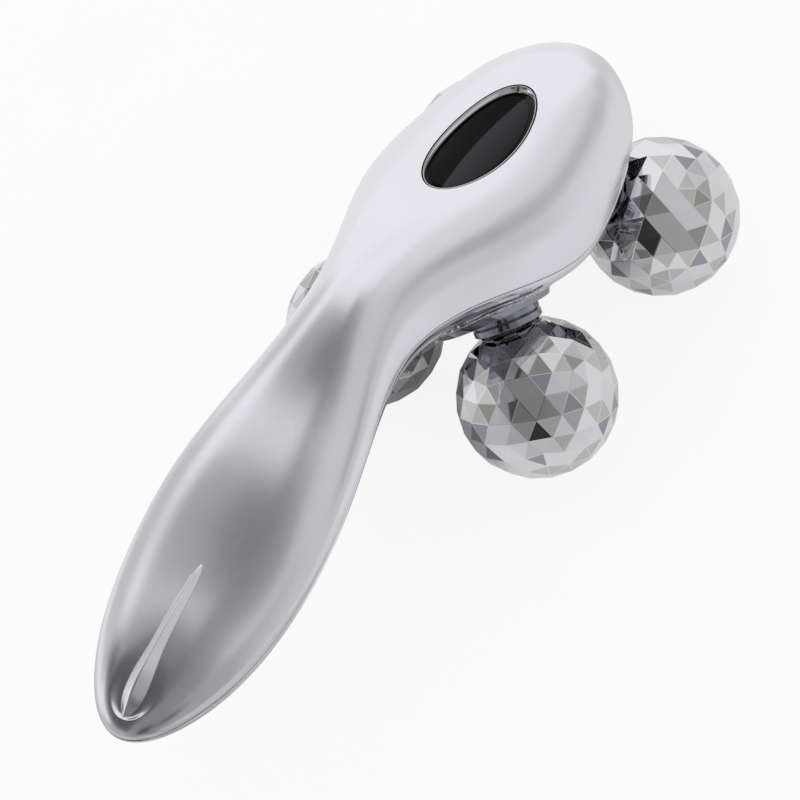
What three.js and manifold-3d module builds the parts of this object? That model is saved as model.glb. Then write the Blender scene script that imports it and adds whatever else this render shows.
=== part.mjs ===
// A body massage roller: a plated handle that swells from a slim neck into a broad head,
// a dark window over a light cell in the top of the head, and four faceted balls that
// roll freely on splayed axles under it.
// Millimetres. +X runs from the tail of the handle to the head, +Z up. The balls rest on Z = 0.
// Inside the group x counts from the tail's tip; the group then stands midway over its origin.

import * as THREE from 'three';
import { mergeVertices } from 'three/addons/utils/BufferGeometryUtils.js';
import { ConvexGeometry } from 'three/addons/geometries/ConvexGeometry.js';
import Module from 'manifold-3d';

const wasm = await Module();
wasm.setup();

// Body sizes
const bodyLength = 188;
const handleWidth = 39.6;
const neckWidth = 26.4;
const headWidth = 51.6;
const handleCrown = 7.8;
const neckCrown = 13;
const headCrown = 20.8;
const handleBelly = 9.5;
const neckBelly = 9.7;
const headBelly = 11;
const neckLift = 15.75;
const wall = 2.5;

// Roller sizes
const ballDiameter = 35;
const trackWidth = 44.2;
const collarDiameter = 15.4;
const collarLength = 3.6;
const legEndDiameter = 19.6;
const axleDiameter = 5;
const bushDiameter = 9;
const bushLength = 4;
const hubWall = 1.5;
const ballFloor = 5.2;
const axleGrip = 14;
const fairingRear = 26;
const fairingMiddle = 15;
const fairingFront = 12;
const fairingSide = 13;

// Leg angles in degrees: down from level, and round from straight sideways
const legTilt = 45;
const legTurn = 38;

// Window sizes
const windowLength = 37;
const windowWidth = 16.8;
const bezelWall = 1;
const bezelDrop = 0.9;
const lensDrop = 0.5;
const flangeReach = 2.2;
const sheetThickness = 0.9;
const gasketThickness = 0.6;
const cellLength = 29;
const cellWidth = 11.6;
const carrierThickness = 1.6;

// Inner hardware sizes
const chassisPlate = 3;
const chassisBoss = 11;
const screwDiameter = 2.2;
const screwHeadDiameter = 4;
const screwHeadHeight = 1.4;
const screwLength = 8;
const setScrewDiameter = 3;
const postDiameter = 5.2;
const leadDiameter = 1.3;
const contactLength = 9;
const contactWidth = 5;
const contactThickness = 0.5;
const sealWidth = 0.8;
const sealHeight = 1.2;
const ringThickness = 0.8;

// Sizes of the thumb scoop in the tail and the lance-shaped spine that stands in it
const scoopStart = 2.7;
const scoopLength = 40;
const scoopWidth = 20;
const scoopDepth = 2;
const spineTip = 36;
const spineShoulder = 13;
const spineWidth = 4.4;
const spineDrop = 1.2;

// Clearances
const seatGap = 0.3;
const runGap = 0.7;
const overrun = 4;

// Places along the body, as [share of the length, size followed, share of that size]
const widthShares = [
  [0.06, handleWidth, 0.325],
  [0.16, handleWidth, 0.48],
  [0.3, handleWidth, 0.5],
  [0.42, neckWidth, 0.59],
  [0.53, neckWidth, 0.5],
  [0.64, headWidth, 0.374],
  [0.76, headWidth, 0.5],
  [0.88, headWidth, 0.425],
  [0.96, headWidth, 0.275],
];
const crownShares = [
  [0.06, handleCrown, 0.7],
  [0.16, handleCrown, 0.9],
  [0.3, handleCrown, 1],
  [0.42, neckCrown, 0.65],
  [0.53, neckCrown, 1],
  [0.64, headCrown, 0.85],
  [0.76, headCrown, 1],
  [0.88, headCrown, 0.85],
  [0.96, headCrown, 0.56],
];
const bellyShares = [
  [0.06, handleBelly, 0.68],
  [0.16, handleBelly, 0.94],
  [0.3, handleBelly, 1],
  [0.42, neckBelly, 0.87],
  [0.53, neckBelly, 1],
  [0.64, headBelly, 1.04],
  [0.76, headBelly, 1],
  [0.88, headBelly, 0.91],
  [0.96, headBelly, 0.73],
];
const seamShares = [
  [0, neckLift, 0.035],
  [0.06, neckLift, 0.115],
  [0.16, neckLift, 0.3],
  [0.3, neckLift, 0.682],
  [0.42, neckLift, 0.95],
  [0.53, neckLift, 1],
  [0.64, neckLift, 0.65],
  [0.76, neckLift, 0.115],
  [0.88, neckLift, 0.041],
  [0.96, neckLift, 0.098],
  [1, neckLift, 0.195],
];

// Counts and ratios of the faceting
const bodySides = 32;
const terminalPost = 3;
const bodyStations = 26;
const turnedSides = 16;
const smallSides = 12;
const ovalPoints = 16;
const sectionPower = 2 / 2.15;
const ballDetail = 3;
const leadSteps = 14;
const leadArcs = 4;
const rearRollerShare = 0.6383;
const frontRollerShare = 0.9191;
const windowShare = 0.785;
const slopeShare = 0.004;
const cavityStartShare = 0.2;
const cavityEndShare = 0.965;
const seamCutShare = 0.5;
const sealPlaceShare = 0.25;
const scoopRimShare = 1.14;
const setScrewShare = 0.58;
const postPlaceShare = 0.25;
const collarEdgeShare = 0.125;
const leadPlaceShare = 0.25;

const ballRadius = ballDiameter / 2;
const axleRadius = axleDiameter / 2;
const collarRadius = collarDiameter / 2;
const bushRadius = bushDiameter / 2;
const hubRadius = bushRadius + hubWall + seatGap;

// Solids and geometries

function mergedGeometry(geometry) {
  const bare = geometry.clone();
  bare.deleteAttribute('normal');
  bare.deleteAttribute('uv');
  return mergeVertices(bare);
}

// A geometry as a solid, without the flat triangles that poles leave
function solidOf(geometry) {
  const merged = mergedGeometry(geometry);
  const corners = merged.index.array;
  const kept = [];
  for (let i = 0; i < corners.length; i += 3) {
    const [a, b, c] = corners.slice(i, i + 3);
    if (a !== b && b !== c && c !== a) kept.push(a, b, c);
  }
  const positions = new Float32Array(merged.attributes.position.array);
  if (signedVolume(positions, kept) < 0) kept.reverse();
  const mesh = { numProp: 3, vertProperties: positions, triVerts: new Uint32Array(kept) };
  return new wasm.Manifold(new wasm.Mesh(mesh));
}

function signedVolume(positions, corners) {
  const [a, b, c] = [new THREE.Vector3(), new THREE.Vector3(), new THREE.Vector3()];
  let volume = 0;
  for (let i = 0; i < corners.length; i += 3) {
    a.fromArray(positions, 3 * corners[i]);
    b.fromArray(positions, 3 * corners[i + 1]);
    c.fromArray(positions, 3 * corners[i + 2]);
    volume += a.dot(b.cross(c));
  }
  return volume;
}

function geometryOf(solid) {
  const mesh = solid.getMesh();
  const geometry = new THREE.BufferGeometry();
  const positions = new THREE.BufferAttribute(new Float32Array(mesh.vertProperties), 3);
  geometry.setAttribute('position', positions);
  geometry.setIndex(new THREE.BufferAttribute(new Uint32Array(mesh.triVerts), 1));
  geometry.computeVertexNormals();
  return geometry;
}

// A solid turned round +Z from [radius, height] points
function turned(profile, sides = turnedSides) {
  const points = profile.map(([radius, height]) => new THREE.Vector2(radius, height));
  return solidOf(new THREE.LatheGeometry(points, sides).rotateX(Math.PI / 2));
}

function rod(radius, from, to, sides = turnedSides) {
  return turned([[0, from], [radius, from], [radius, to], [0, to]], sides);
}

function sleeve(inner, outer, from, to, sides = turnedSides) {
  return turned([[inner, from], [outer, from], [outer, to], [inner, to], [inner, from]], sides);
}

// A flat oval plate, or an oval ring where the hole has a size
function ovalPlate(length, width, from, to, holeLength = 0, holeWidth = 0) {
  const shape = new THREE.Shape();
  shape.absellipse(0, 0, length / 2, width / 2, 0, 2 * Math.PI);
  if (holeLength > 0) {
    const hole = new THREE.Path();
    hole.absellipse(0, 0, holeLength / 2, holeWidth / 2, 0, 2 * Math.PI);
    shape.holes.push(hole);
  }
  const options = { depth: to - from, bevelEnabled: false, curveSegments: ovalPoints };
  return solidOf(new THREE.ExtrudeGeometry(shape, options).translate(0, 0, from));
}

function block(lowX, highX, lowY, highY, lowZ, highZ) {
  const box = new THREE.BoxGeometry(highX - lowX, highY - lowY, highZ - lowZ);
  return solidOf(box.translate((lowX + highX) / 2, (lowY + highY) / 2, (lowZ + highZ) / 2));
}

// A closed skin over rings of points, shut by a fan to a point at each end
function skinOver(rings, startPoint, endPoint) {
  const sides = rings[0].length;
  const points = [...rings.flat(), startPoint, endPoint];
  const start = points.length - 2;
  const end = points.length - 1;
  const last = (rings.length - 1) * sides;
  const corners = [];
  for (let i = 0; i < sides; i += 1) {
    const next = (i + 1) % sides;
    for (let r = 0; r < last; r += sides) {
      corners.push(r + i, r + next, r + sides + next, r + i, r + sides + next, r + sides + i);
    }
    corners.push(start, next, i, end, last + i, last + next);
  }
  const geometry = new THREE.BufferGeometry().setFromPoints(points);
  geometry.setIndex(corners);
  return solidOf(geometry);
}

// The geodesic ball, turned so that one facet lies flat underneath

function geodesic() {
  const ball = new THREE.IcosahedronGeometry(ballRadius, ballDetail);
  const facet = new THREE.Vector3(-1, 1, 1).normalize();
  const down = new THREE.Vector3(0, 0, -1);
  const turn = new THREE.Quaternion().setFromUnitVectors(facet, down);
  return ball.applyQuaternion(turn);
}

const ballBox = new THREE.Box3().setFromBufferAttribute(geodesic().attributes.position);
const ballCentreZ = -ballBox.min.z;
const rearRollerX = rearRollerShare * bodyLength;
const frontRollerX = frontRollerShare * bodyLength;
const wholeLength = frontRollerX + ballBox.max.x;

// Places along each leg's axis, measured from the ball's centre towards the body
const poleFlat = Math.sqrt(ballRadius ** 2 - collarRadius ** 2);
const collarStart = poleFlat + runGap;
const legEnd = collarStart + collarLength + seatGap;
const footStart = legEnd + wall;
const axleRoot = legEnd + axleGrip;
const boreFloor = ballFloor - ballRadius;
const axleTip = boreFloor + runGap;
const ringPlace = axleTip + ringThickness;
const outerBush = ringPlace + ringThickness + runGap;
const innerBush = poleFlat - hubWall - bushLength;
const setScrewPlace = legEnd + setScrewShare * axleGrip;

const legs = [
  { name: 'rear_left', x: rearRollerX, side: 1, lean: -1 },
  { name: 'rear_right', x: rearRollerX, side: -1, lean: -1 },
  { name: 'front_left', x: frontRollerX, side: 1, lean: 1 },
  { name: 'front_right', x: frontRollerX, side: -1, lean: 1 },
];

// The direction up a leg's axle, from the ball to the body
function inwardOf(leg) {
  const tilt = THREE.MathUtils.degToRad(legTilt);
  const turn = THREE.MathUtils.degToRad(legTurn);
  return new THREE.Vector3(
    -leg.lean * Math.cos(tilt) * Math.sin(turn),
    -leg.side * Math.cos(tilt) * Math.cos(turn),
    Math.sin(tilt),
  );
}

// A frame at a spot, with its +Z along a direction
function frameAt(spot, direction) {
  const up = new THREE.Vector3(0, 0, 1);
  const turn = new THREE.Quaternion().setFromUnitVectors(up, direction);
  return new THREE.Matrix4().compose(spot, turn, new THREE.Vector3(1, 1, 1));
}

// A leg's frame: its origin is the ball's centre and its +Z runs up the axle to the body
function legFrame(leg) {
  const centre = new THREE.Vector3(leg.x, (leg.side * trackWidth) / 2, ballCentreZ);
  return frameAt(centre, inwardOf(leg));
}

function placed(solid, frame) {
  return solidOf(geometryOf(solid).applyMatrix4(frame));
}

function legPoint(leg, along) {
  return new THREE.Vector3(0, 0, along).applyMatrix4(legFrame(leg));
}

// Height of the axles' inner ends, which the seam of the body stands on
const rootHeight = legPoint(legs[0], axleRoot).z;

// Outline of the body

function smooth(shares, value) {
  const places = shares.map(([share]) => share * bodyLength);
  const curve = new THREE.CubicInterpolant(places, shares.map(value), 1);
  return (x) => curve.evaluate(x)[0];
}

// A size along the body that closes to nothing with a round nose at each end
function roundEnded(shares) {
  const fullness = smooth(shares, ([share, size, part]) => {
    const x = share * bodyLength;
    return (size * part) ** 2 / (x * (bodyLength - x));
  });
  return (x) => Math.sqrt(Math.max(fullness(x) * x * (bodyLength - x), 0));
}

const halfWidth = roundEnded(widthShares);
const crown = roundEnded(crownShares);
const belly = roundEnded(bellyShares);
const lift = smooth(seamShares, ([, size, part]) => size * part);
const seam = (x) => rootHeight + lift(x);

// A size of the section drawn in square to the sloping skin
function drawnIn(curve, x, inset) {
  const step = bodyLength * slopeShare;
  const slope = (curve(x + step) - curve(x - step)) / (2 * step);
  return curve(x) - inset * Math.hypot(1, slope);
}

function sectionHeight(x, y, size, half) {
  const share = Math.min(Math.abs(y) / half, 1);
  return size * (1 - share ** (2 / sectionPower)) ** (sectionPower / 2);
}

function topHeight(x, y, inset) {
  return seam(x) + sectionHeight(x, y, drawnIn(crown, x, inset), drawnIn(halfWidth, x, inset));
}

function bottomHeight(x, y, inset) {
  return seam(x) - sectionHeight(x, y, drawnIn(belly, x, inset), drawnIn(halfWidth, x, inset));
}

function sectionRing(x, inset) {
  const half = inset ? drawnIn(halfWidth, x, inset) : halfWidth(x);
  const top = inset ? drawnIn(crown, x, inset) : crown(x);
  const bottom = inset ? drawnIn(belly, x, inset) : belly(x);
  const ring = [];
  for (let i = 0; i < bodySides; i += 1) {
    const angle = (2 * Math.PI * i) / bodySides;
    const across = Math.sign(Math.cos(angle)) * Math.abs(Math.cos(angle)) ** sectionPower;
    const up = Math.sign(Math.sin(angle)) * Math.abs(Math.sin(angle)) ** sectionPower;
    ring.push(new THREE.Vector3(x, half * across, seam(x) + (up > 0 ? top : bottom) * up));
  }
  return ring;
}

// Places of the sections, closer together towards the two round ends. A shift is a share of a
// step: what cuts the body stands a little beside its sections, so that no edges coincide
function stationsBetween(from, to, shift = 0) {
  const places = [];
  for (let i = 0; i <= bodyStations; i += 1) {
    places.push((bodyLength * (1 - Math.cos((Math.PI * (i + shift)) / bodyStations))) / 2);
  }
  return places.filter((x, i) => x > from && x < to && i + shift < bodyStations);
}

function outerBody() {
  const rings = stationsBetween(0, bodyLength).map((x) => sectionRing(x, 0));
  const tail = new THREE.Vector3(0, 0, seam(0));
  const nose = new THREE.Vector3(bodyLength, 0, seam(bodyLength));
  return skinOver(rings, tail, nose);
}

// The hollow inside the shells' wall
function hollow() {
  const from = cavityStartShare * bodyLength;
  const to = cavityEndShare * bodyLength;
  const places = [from, ...stationsBetween(from + wall, to - wall), to];
  const rings = places.map((x) => sectionRing(x, wall));
  const start = new THREE.Vector3(from, 0, seam(from));
  const end = new THREE.Vector3(to, 0, seam(to));
  return skinOver(rings, start, end);
}

// All space above the seam, or below it, less half the seat gap
function sideOfSeam(up) {
  const far = seam(0) + up * (rootHeight + neckLift + headWidth);
  const places = [0, ...stationsBetween(0, bodyLength, seamCutShare), bodyLength];
  const outline = places.map((x) => new THREE.Vector2(x, seam(x) + (up * seatGap) / 2));
  outline.unshift(new THREE.Vector2(-overrun, outline[0].y));
  outline.push(new THREE.Vector2(bodyLength + overrun, outline.at(-1).y));
  outline.push(new THREE.Vector2(bodyLength + overrun, far), new THREE.Vector2(-overrun, far));
  const depth = headWidth + trackWidth;
  const options = { depth, bevelEnabled: false };
  const slab = new THREE.ExtrudeGeometry(new THREE.Shape(outline), options);
  return solidOf(slab.rotateX(Math.PI / 2).translate(0, depth / 2, 0));
}

// A ring of rectangular section that follows the seam inside the wall
function seamRing(width, height) {
  const from = cavityStartShare * bodyLength - wall;
  const middle = wall / 2;
  const places = [from, ...stationsBetween(from + wall, bodyLength - wall, sealPlaceShare)];
  const outline = places.map((x) => [x, drawnIn(halfWidth, x, middle)]);
  const right = outline.map(([x, y]) => new THREE.Vector2(x, -y));
  const left = outline.map(([x, y]) => new THREE.Vector2(x, y)).reverse();
  const nose = new THREE.Vector2(bodyLength - middle, 0);
  const path = [...right, nose, ...left];
  const corners = [[-1, -1], [1, -1], [1, 1], [-1, 1]];
  const points = path.flatMap((point, i) => {
    const before = path.at(i - 1);
    const after = path[(i + 1) % path.length];
    const along = after.clone().sub(before).normalize();
    return corners.map(([out, up]) => new THREE.Vector3(
      point.x + (along.y * out * width) / 2,
      point.y - (along.x * out * width) / 2,
      seam(point.x) + (up * height) / 2,
    ));
  });
  const index = [];
  for (let i = 0; i < path.length; i += 1) {
    const next = (i + 1) % path.length;
    for (let k = 0; k < corners.length; k += 1) {
      const turn = (k + 1) % corners.length;
      const [a, b] = [corners.length * i + k, corners.length * i + turn];
      const [c, d] = [corners.length * next + turn, corners.length * next + k];
      index.push(a, b, c, a, c, d);
    }
  }
  const geometry = new THREE.BufferGeometry().setFromPoints(points);
  geometry.setIndex(index);
  return solidOf(geometry);
}

// The frame of the set screw that holds a leg's axle: its +Z leaves the axle squarely, upwards
function setScrewFrame(leg) {
  const inward = inwardOf(leg);
  const away = new THREE.Vector3(0, 0, 1).addScaledVector(inward, -inward.z).normalize();
  return frameAt(legPoint(leg, setScrewPlace), away);
}

// The fairing that carries a leg's end face: straight lines from the round end to the body
function fairing(leg) {
  const frame = legFrame(leg);
  const points = [];
  const root = legPoint(leg, axleRoot);
  for (let i = 0; i < turnedSides; i += 1) {
    const angle = (2 * Math.PI * i) / turnedSides;
    const rim = new THREE.Vector3(Math.cos(angle), Math.sin(angle), 0);
    rim.multiplyScalar(legEndDiameter / 2).setZ(legEnd);
    points.push(rim.applyMatrix4(frame));
    const outerReach = leg.lean < 0 ? fairingRear : fairingFront;
    const reach = Math.cos(angle) * leg.lean > 0 ? outerReach : fairingMiddle;
    points.push(new THREE.Vector3(
      root.x + Math.cos(angle) * reach,
      root.y + Math.sin(angle) * fairingSide,
      seam(root.x),
    ));
  }
  return solidOf(new ConvexGeometry(points));
}

// Heights inside the head
const plateBottom = rootHeight + axleRadius;
const plateTop = plateBottom + chassisPlate;
const plateRear = legPoint(legs[0], setScrewPlace).x - setScrewDiameter;
const plateFront = legPoint(legs[2], setScrewPlace).x + setScrewDiameter;
const plateMiddle = (plateRear + plateFront) / 2;
const postX = postDiameter;
const postY = headWidth * postPlaceShare;
const caseScrewRear = plateRear - 4 * postDiameter;
const caseScrewFront = cavityEndShare * bodyLength - screwDiameter;

// The window's frame: its +Z is square to the crown of the head
const windowX = windowShare * bodyLength;
const windowSlope = (topHeight(windowX + windowLength / 2, 0, 0)
  - topHeight(windowX - windowLength / 2, 0, 0)) / windowLength;
const windowFrame = new THREE.Matrix4()
  .makeTranslation(windowX, 0, topHeight(windowX, 0, 0))
  .multiply(new THREE.Matrix4().makeRotationY(-Math.atan(windowSlope)));

// How low the inside of the crown comes round an oval, in the window's frame
function roofOver(length, width) {
  const back = windowFrame.clone().invert();
  const heights = [];
  for (let i = 0; i < 2 * ovalPoints; i += 1) {
    const angle = (Math.PI * i) / ovalPoints;
    const spot = new THREE.Vector3((Math.cos(angle) * length) / 2, (Math.sin(angle) * width) / 2, 0);
    spot.applyMatrix4(windowFrame);
    spot.setZ(topHeight(spot.x, spot.y, wall));
    heights.push(spot.applyMatrix4(back).z);
  }
  return Math.min(...heights);
}

// Depths below the crown, along the window's own axis
const bezelTop = -bezelDrop;
const flangeLength = windowLength + 2 * flangeReach;
const flangeWidth = windowWidth + 2 * flangeReach;
const flangeTop = roofOver(flangeLength, flangeWidth) - seatGap;
const flangeBottom = flangeTop - sheetThickness;
const gasketTop = flangeBottom - seatGap;
const lensFlange = gasketTop - gasketThickness - seatGap;
const lensBottom = lensFlange - sheetThickness;
const cellTop = lensBottom - seatGap;
const cellBottom = cellTop - sheetThickness;
const carrierTop = cellBottom - seatGap;
const carrierBottom = carrierTop - carrierThickness;
const bezelLength = windowLength - 2 * seatGap;
const bezelWidth = windowWidth - 2 * seatGap;
const carrierLength = flangeLength + 2 * postDiameter;
const carrierScrewX = (flangeLength + postDiameter) / 2 + seatGap;

// Shells

function postBetween(x, y, from, to, diameter) {
  return solidOf(geometryOf(rod(diameter / 2, from, to, smallSides)).translate(x, y, 0));
}

// What the thumb scoop takes away: a bowl that follows the crown and deepens towards the tail
function scoopBowl(depth) {
  const bowl = new THREE.SphereGeometry(1, bodySides, smallSides).rotateX(Math.PI / 2);
  const spots = bowl.attributes.position;
  for (let i = 0; i < spots.count; i += 1) {
    const along = spots.getX(i) * scoopRimShare;
    const across = spots.getY(i) * scoopRimShare;
    const x = scoopStart + ((1 + along) * scoopLength) / 2;
    const y = (across * scoopWidth) / 2;
    const sunk = depth * (1 - along ** 2 - across ** 2) * (1 - along) ** 2;
    const floor = topHeight(x, y, 0) - sunk;
    spots.setXYZ(i, x, y, spots.getZ(i) < 0 ? floor : floor + overrun);
  }
  return solidOf(bowl);
}

// The lance that the scoop leaves standing, as a prism through the tail
function spine() {
  const half = spineWidth / 2;
  const outline = new THREE.Shape().moveTo(spineTip, 0);
  outline.quadraticCurveTo((spineTip + spineShoulder) / 2, half, spineShoulder, half);
  outline.quadraticCurveTo(scoopStart, half, 0, 0);
  outline.quadraticCurveTo(scoopStart, -half, spineShoulder, -half);
  outline.quadraticCurveTo((spineTip + spineShoulder) / 2, -half, spineTip, 0);
  const depth = rootHeight + neckLift + headCrown;
  const options = { depth, bevelEnabled: false, curveSegments: smallSides };
  return solidOf(new THREE.ExtrudeGeometry(outline, options));
}

function scoop() {
  return scoopBowl(scoopDepth).subtract(spine()).add(scoopBowl(spineDrop));
}

function screwHole(x, y, from, to) {
  return postBetween(x, y, from, to, screwDiameter + 2 * seatGap);
}

function carrierPosts() {
  const posts = [-carrierScrewX, carrierScrewX].map((x) => {
    const post = postBetween(x, 0, carrierTop + seatGap, 0, postDiameter);
    const hole = postBetween(x, 0, -overrun - screwLength, -wall, screwDiameter + 2 * seatGap);
    return placed(post.subtract(hole), windowFrame);
  });
  return posts[0].add(posts[1]);
}

function upperShell(outer, inner) {
  let shell = outer.subtract(inner).intersect(sideOfSeam(1));
  const gap = seam(caseScrewRear) + seatGap;
  const frontGap = seam(caseScrewFront) + seatGap;
  const rear = postBetween(caseScrewRear, 0, gap, gap + headCrown, postDiameter);
  const front = postBetween(caseScrewFront, 0, frontGap, frontGap + headCrown, postDiameter);
  const posts = carrierPosts().add(rear).add(front).intersect(outer);
  shell = shell.add(posts.intersect(sideOfSeam(1)));
  shell = shell.subtract(screwHole(caseScrewRear, 0, gap - overrun, gap + screwLength));
  shell = shell.subtract(screwHole(caseScrewFront, 0, frontGap - overrun, frontGap + screwLength));
  const opening = ovalPlate(windowLength, windowWidth, -2 * overrun, overrun);
  shell = shell.subtract(placed(opening, windowFrame));
  shell = shell.subtract(scoop());
  return shell.subtract(seamRing(sealWidth + 2 * seatGap, sealHeight + 2 * seatGap));
}

// The way down a leg for the chassis foot, the axle's hole in its end and room for its collar
function legHollow(leg) {
  const foot = rod(chassisBoss / 2 + seatGap, footStart, axleRoot);
  const seat = rod(collarRadius + runGap, 0, legEnd);
  const hole = rod(axleRadius + seatGap, legEnd - overrun, footStart + overrun);
  return placed(foot.add(hole).add(seat), legFrame(leg));
}

function chassisPostPlaces() {
  return [-1, 1].flatMap((end) => [-1, 1].map((side) => [
    plateMiddle + end * postX,
    side * postY,
  ]));
}

function caseScrewSeat(x) {
  return bottomHeight(x, 0, 0) + wall + screwHeadHeight;
}

function lowerShell(outer, inner) {
  let skin = outer;
  legs.forEach((leg) => {
    skin = skin.add(fairing(leg));
  });
  skin = skin.intersect(sideOfSeam(-1));
  let shell = skin.subtract(inner);
  let posts = null;
  chassisPostPlaces().forEach(([x, y]) => {
    const post = postBetween(x, y, 0, plateBottom - seatGap, postDiameter);
    posts = posts ? posts.add(post) : post;
  });
  [caseScrewRear, caseScrewFront].forEach((x) => {
    posts = posts.add(postBetween(x, 0, 0, seam(x) - seatGap, 2 * postDiameter));
  });
  shell = shell.add(posts.intersect(skin));
  chassisPostPlaces().forEach(([x, y]) => {
    const base = plateBottom - screwLength;
    shell = shell.subtract(screwHole(x, y, base, plateBottom + overrun));
  });
  [caseScrewRear, caseScrewFront].forEach((x) => {
    const seat = caseScrewSeat(x);
    const sink = postBetween(x, 0, 0, seat, screwHeadDiameter + 2 * seatGap);
    shell = shell.subtract(sink).subtract(screwHole(x, 0, 0, seam(x) + overrun));
  });
  legs.forEach((leg) => {
    shell = shell.subtract(legHollow(leg));
  });
  return shell.subtract(seamRing(sealWidth + 2 * seatGap, sealHeight + 2 * seatGap));
}

// Chassis that ties the four axles together inside the head

function chassis() {
  const half = legPoint(legs[0], setScrewPlace).y + setScrewDiameter;
  const reach = postX + postDiameter / 2;
  let body = block(plateRear, plateFront, -half, half, plateBottom, plateTop);
  body = body.add(block(plateMiddle - reach, plateMiddle + reach, -postY - postDiameter / 2,
    postY + postDiameter / 2, plateBottom, plateTop));
  legs.forEach((leg) => {
    const boss = rod(chassisBoss / 2, footStart + seatGap, axleRoot + axleRadius);
    body = body.add(placed(boss, legFrame(leg)));
  });
  legs.forEach((leg) => {
    body = body.subtract(placed(rod(axleRadius + seatGap, 0, axleRoot + seatGap), legFrame(leg)));
    const hole = rod(setScrewDiameter / 2 + seatGap, 0, chassisBoss, smallSides);
    body = body.subtract(placed(hole, setScrewFrame(leg)));
  });
  chassisPostPlaces().forEach(([x, y]) => {
    body = body.subtract(screwHole(x, y, plateBottom - overrun, plateTop + overrun));
  });
  return body;
}

// A screw with its head's underside at height zero and its point below
function screw(length) {
  const radius = screwDiameter / 2;
  const head = screwHeadDiameter / 2;
  return turned([
    [0, -length],
    [radius, -length + screwDiameter],
    [radius, 0],
    [head, 0],
    [head, screwHeadHeight / 2],
    [head / 2, screwHeadHeight],
    [0, screwHeadHeight],
  ], smallSides);
}

// Roller pieces, each along its leg's axis

function ball(leg) {
  const frame = legFrame(leg);
  const turn = new THREE.Quaternion().setFromRotationMatrix(frame).invert();
  const facets = solidOf(geodesic().applyQuaternion(turn));
  const bore = rod(hubRadius + seatGap, boreFloor, ballRadius + overrun);
  const flat = rod(ballRadius, poleFlat, ballRadius + overrun);
  return facets.subtract(bore).subtract(flat);
}

function axle() {
  const neck = axleRadius - ringThickness;
  const grooveStart = ringPlace - seatGap;
  const grooveEnd = ringPlace + ringThickness + seatGap;
  return turned([
    [0, axleTip],
    [axleRadius, axleTip],
    [axleRadius, grooveStart],
    [neck, grooveStart],
    [neck, grooveEnd],
    [axleRadius, grooveEnd],
    [axleRadius, axleRoot],
    [0, axleRoot],
  ]);
}

function legCollar() {
  const edge = collarLength * collarEdgeShare;
  return turned([
    [axleRadius + seatGap, collarStart],
    [collarRadius - edge, collarStart],
    [collarRadius, collarStart + edge],
    [collarRadius, collarStart + collarLength],
    [axleRadius + seatGap, collarStart + collarLength],
    [axleRadius + seatGap, collarStart],
  ]);
}

// A clip ring with its open jaw
function clipRing() {
  const neck = axleRadius - ringThickness + seatGap;
  const ring = sleeve(neck, bushRadius - seatGap, ringPlace, ringPlace + ringThickness, smallSides);
  const jaw = block(0, bushDiameter, -neck, neck, axleTip, outerBush);
  return ring.subtract(jaw);
}

// Leads

function lead(points) {
  const curve = new THREE.CatmullRomCurve3(points);
  const section = new THREE.Shape();
  section.absarc(0, 0, leadDiameter / 2, 0, 2 * Math.PI);
  const options = { steps: leadSteps, curveSegments: leadArcs, bevelEnabled: false, extrudePath: curve };
  return solidOf(new THREE.ExtrudeGeometry(section, options));
}

// A point on the underside of the cell's carrier
function underCarrier(along, across) {
  return new THREE.Vector3(along, across, carrierBottom).applyMatrix4(windowFrame);
}

const contactX = caseScrewRear - postDiameter - seatGap - contactLength;
const contactFloor = bottomHeight(contactX, contactWidth / 2, wall) + 2 * seatGap;

function cellLeadRear() {
  const lift = leadDiameter / 2 + seatGap;
  const start = underCarrier(-flangeLength * leadPlaceShare, postDiameter);
  start.setZ(start.z - lift);
  const sideY = postDiameter + leadDiameter;
  const end = new THREE.Vector3(contactX, 0, contactFloor + contactThickness + lift);
  const passing = new THREE.Vector3(caseScrewRear, sideY, (start.z + end.z) / 2);
  const between = start.clone().add(passing).divideScalar(2).setY(sideY);
  return lead([start, between, passing, end]);
}

function cellLeadFront() {
  const lift = leadDiameter / 2 + seatGap;
  const start = underCarrier(0, carrierScrewX * leadPlaceShare);
  start.setZ(start.z - lift);
  const [x, y] = chassisPostPlaces()[terminalPost];
  const end = new THREE.Vector3(x - screwHeadDiameter, y, plateTop + contactThickness + seatGap + lift);
  return lead([start, start.clone().add(end).divideScalar(2), end]);
}

// Ring terminal under one chassis screw
function terminal() {
  const [x, y] = chassisPostPlaces()[terminalPost];
  const low = plateTop + seatGap;
  const high = low + contactThickness;
  const ring = postBetween(x, y, low, high, screwHeadDiameter + screwDiameter);
  const tab = block(x - 2 * screwHeadDiameter, x, y - screwDiameter / 2, y + screwDiameter / 2, low, high);
  return ring.add(tab).subtract(screwHole(x, y, low - overrun, high + overrun));
}

// Finishes

function finish(color, roughness, metalness) {
  return new THREE.MeshStandardMaterial({ color, roughness, metalness });
}

const finishes = {
  plating: () => finish(0xd9d8de, 0.18, 1),
  mirror: () => finish(0xe2e2e8, 0.05, 1),
  glass: () => finish(0x0a0a0c, 0.05, 0),
  cell: () => finish(0x14182a, 0.35, 0),
  rubber: () => finish(0x1c1c1e, 0.8, 0),
  polymer: () => finish(0xe9e8e2, 0.5, 0),
  steel: () => finish(0xb4b6b9, 0.35, 1),
  brass: () => finish(0xb08d4a, 0.35, 1),
  castMetal: () => finish(0x9a9ca0, 0.5, 1),
  redLead: () => finish(0xa02020, 0.5, 0),
  blackLead: () => finish(0x151515, 0.5, 0),
};

const massager = new THREE.Group();
massager.position.setX(-wholeLength / 2);

function add(parent, name, solid, material) {
  const mesh = new THREE.Mesh(geometryOf(solid), material);
  mesh.name = name;
  parent.add(mesh);
  return mesh;
}

function framed(frame) {
  const group = new THREE.Group();
  group.applyMatrix4(frame);
  massager.add(group);
  return group;
}

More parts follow.
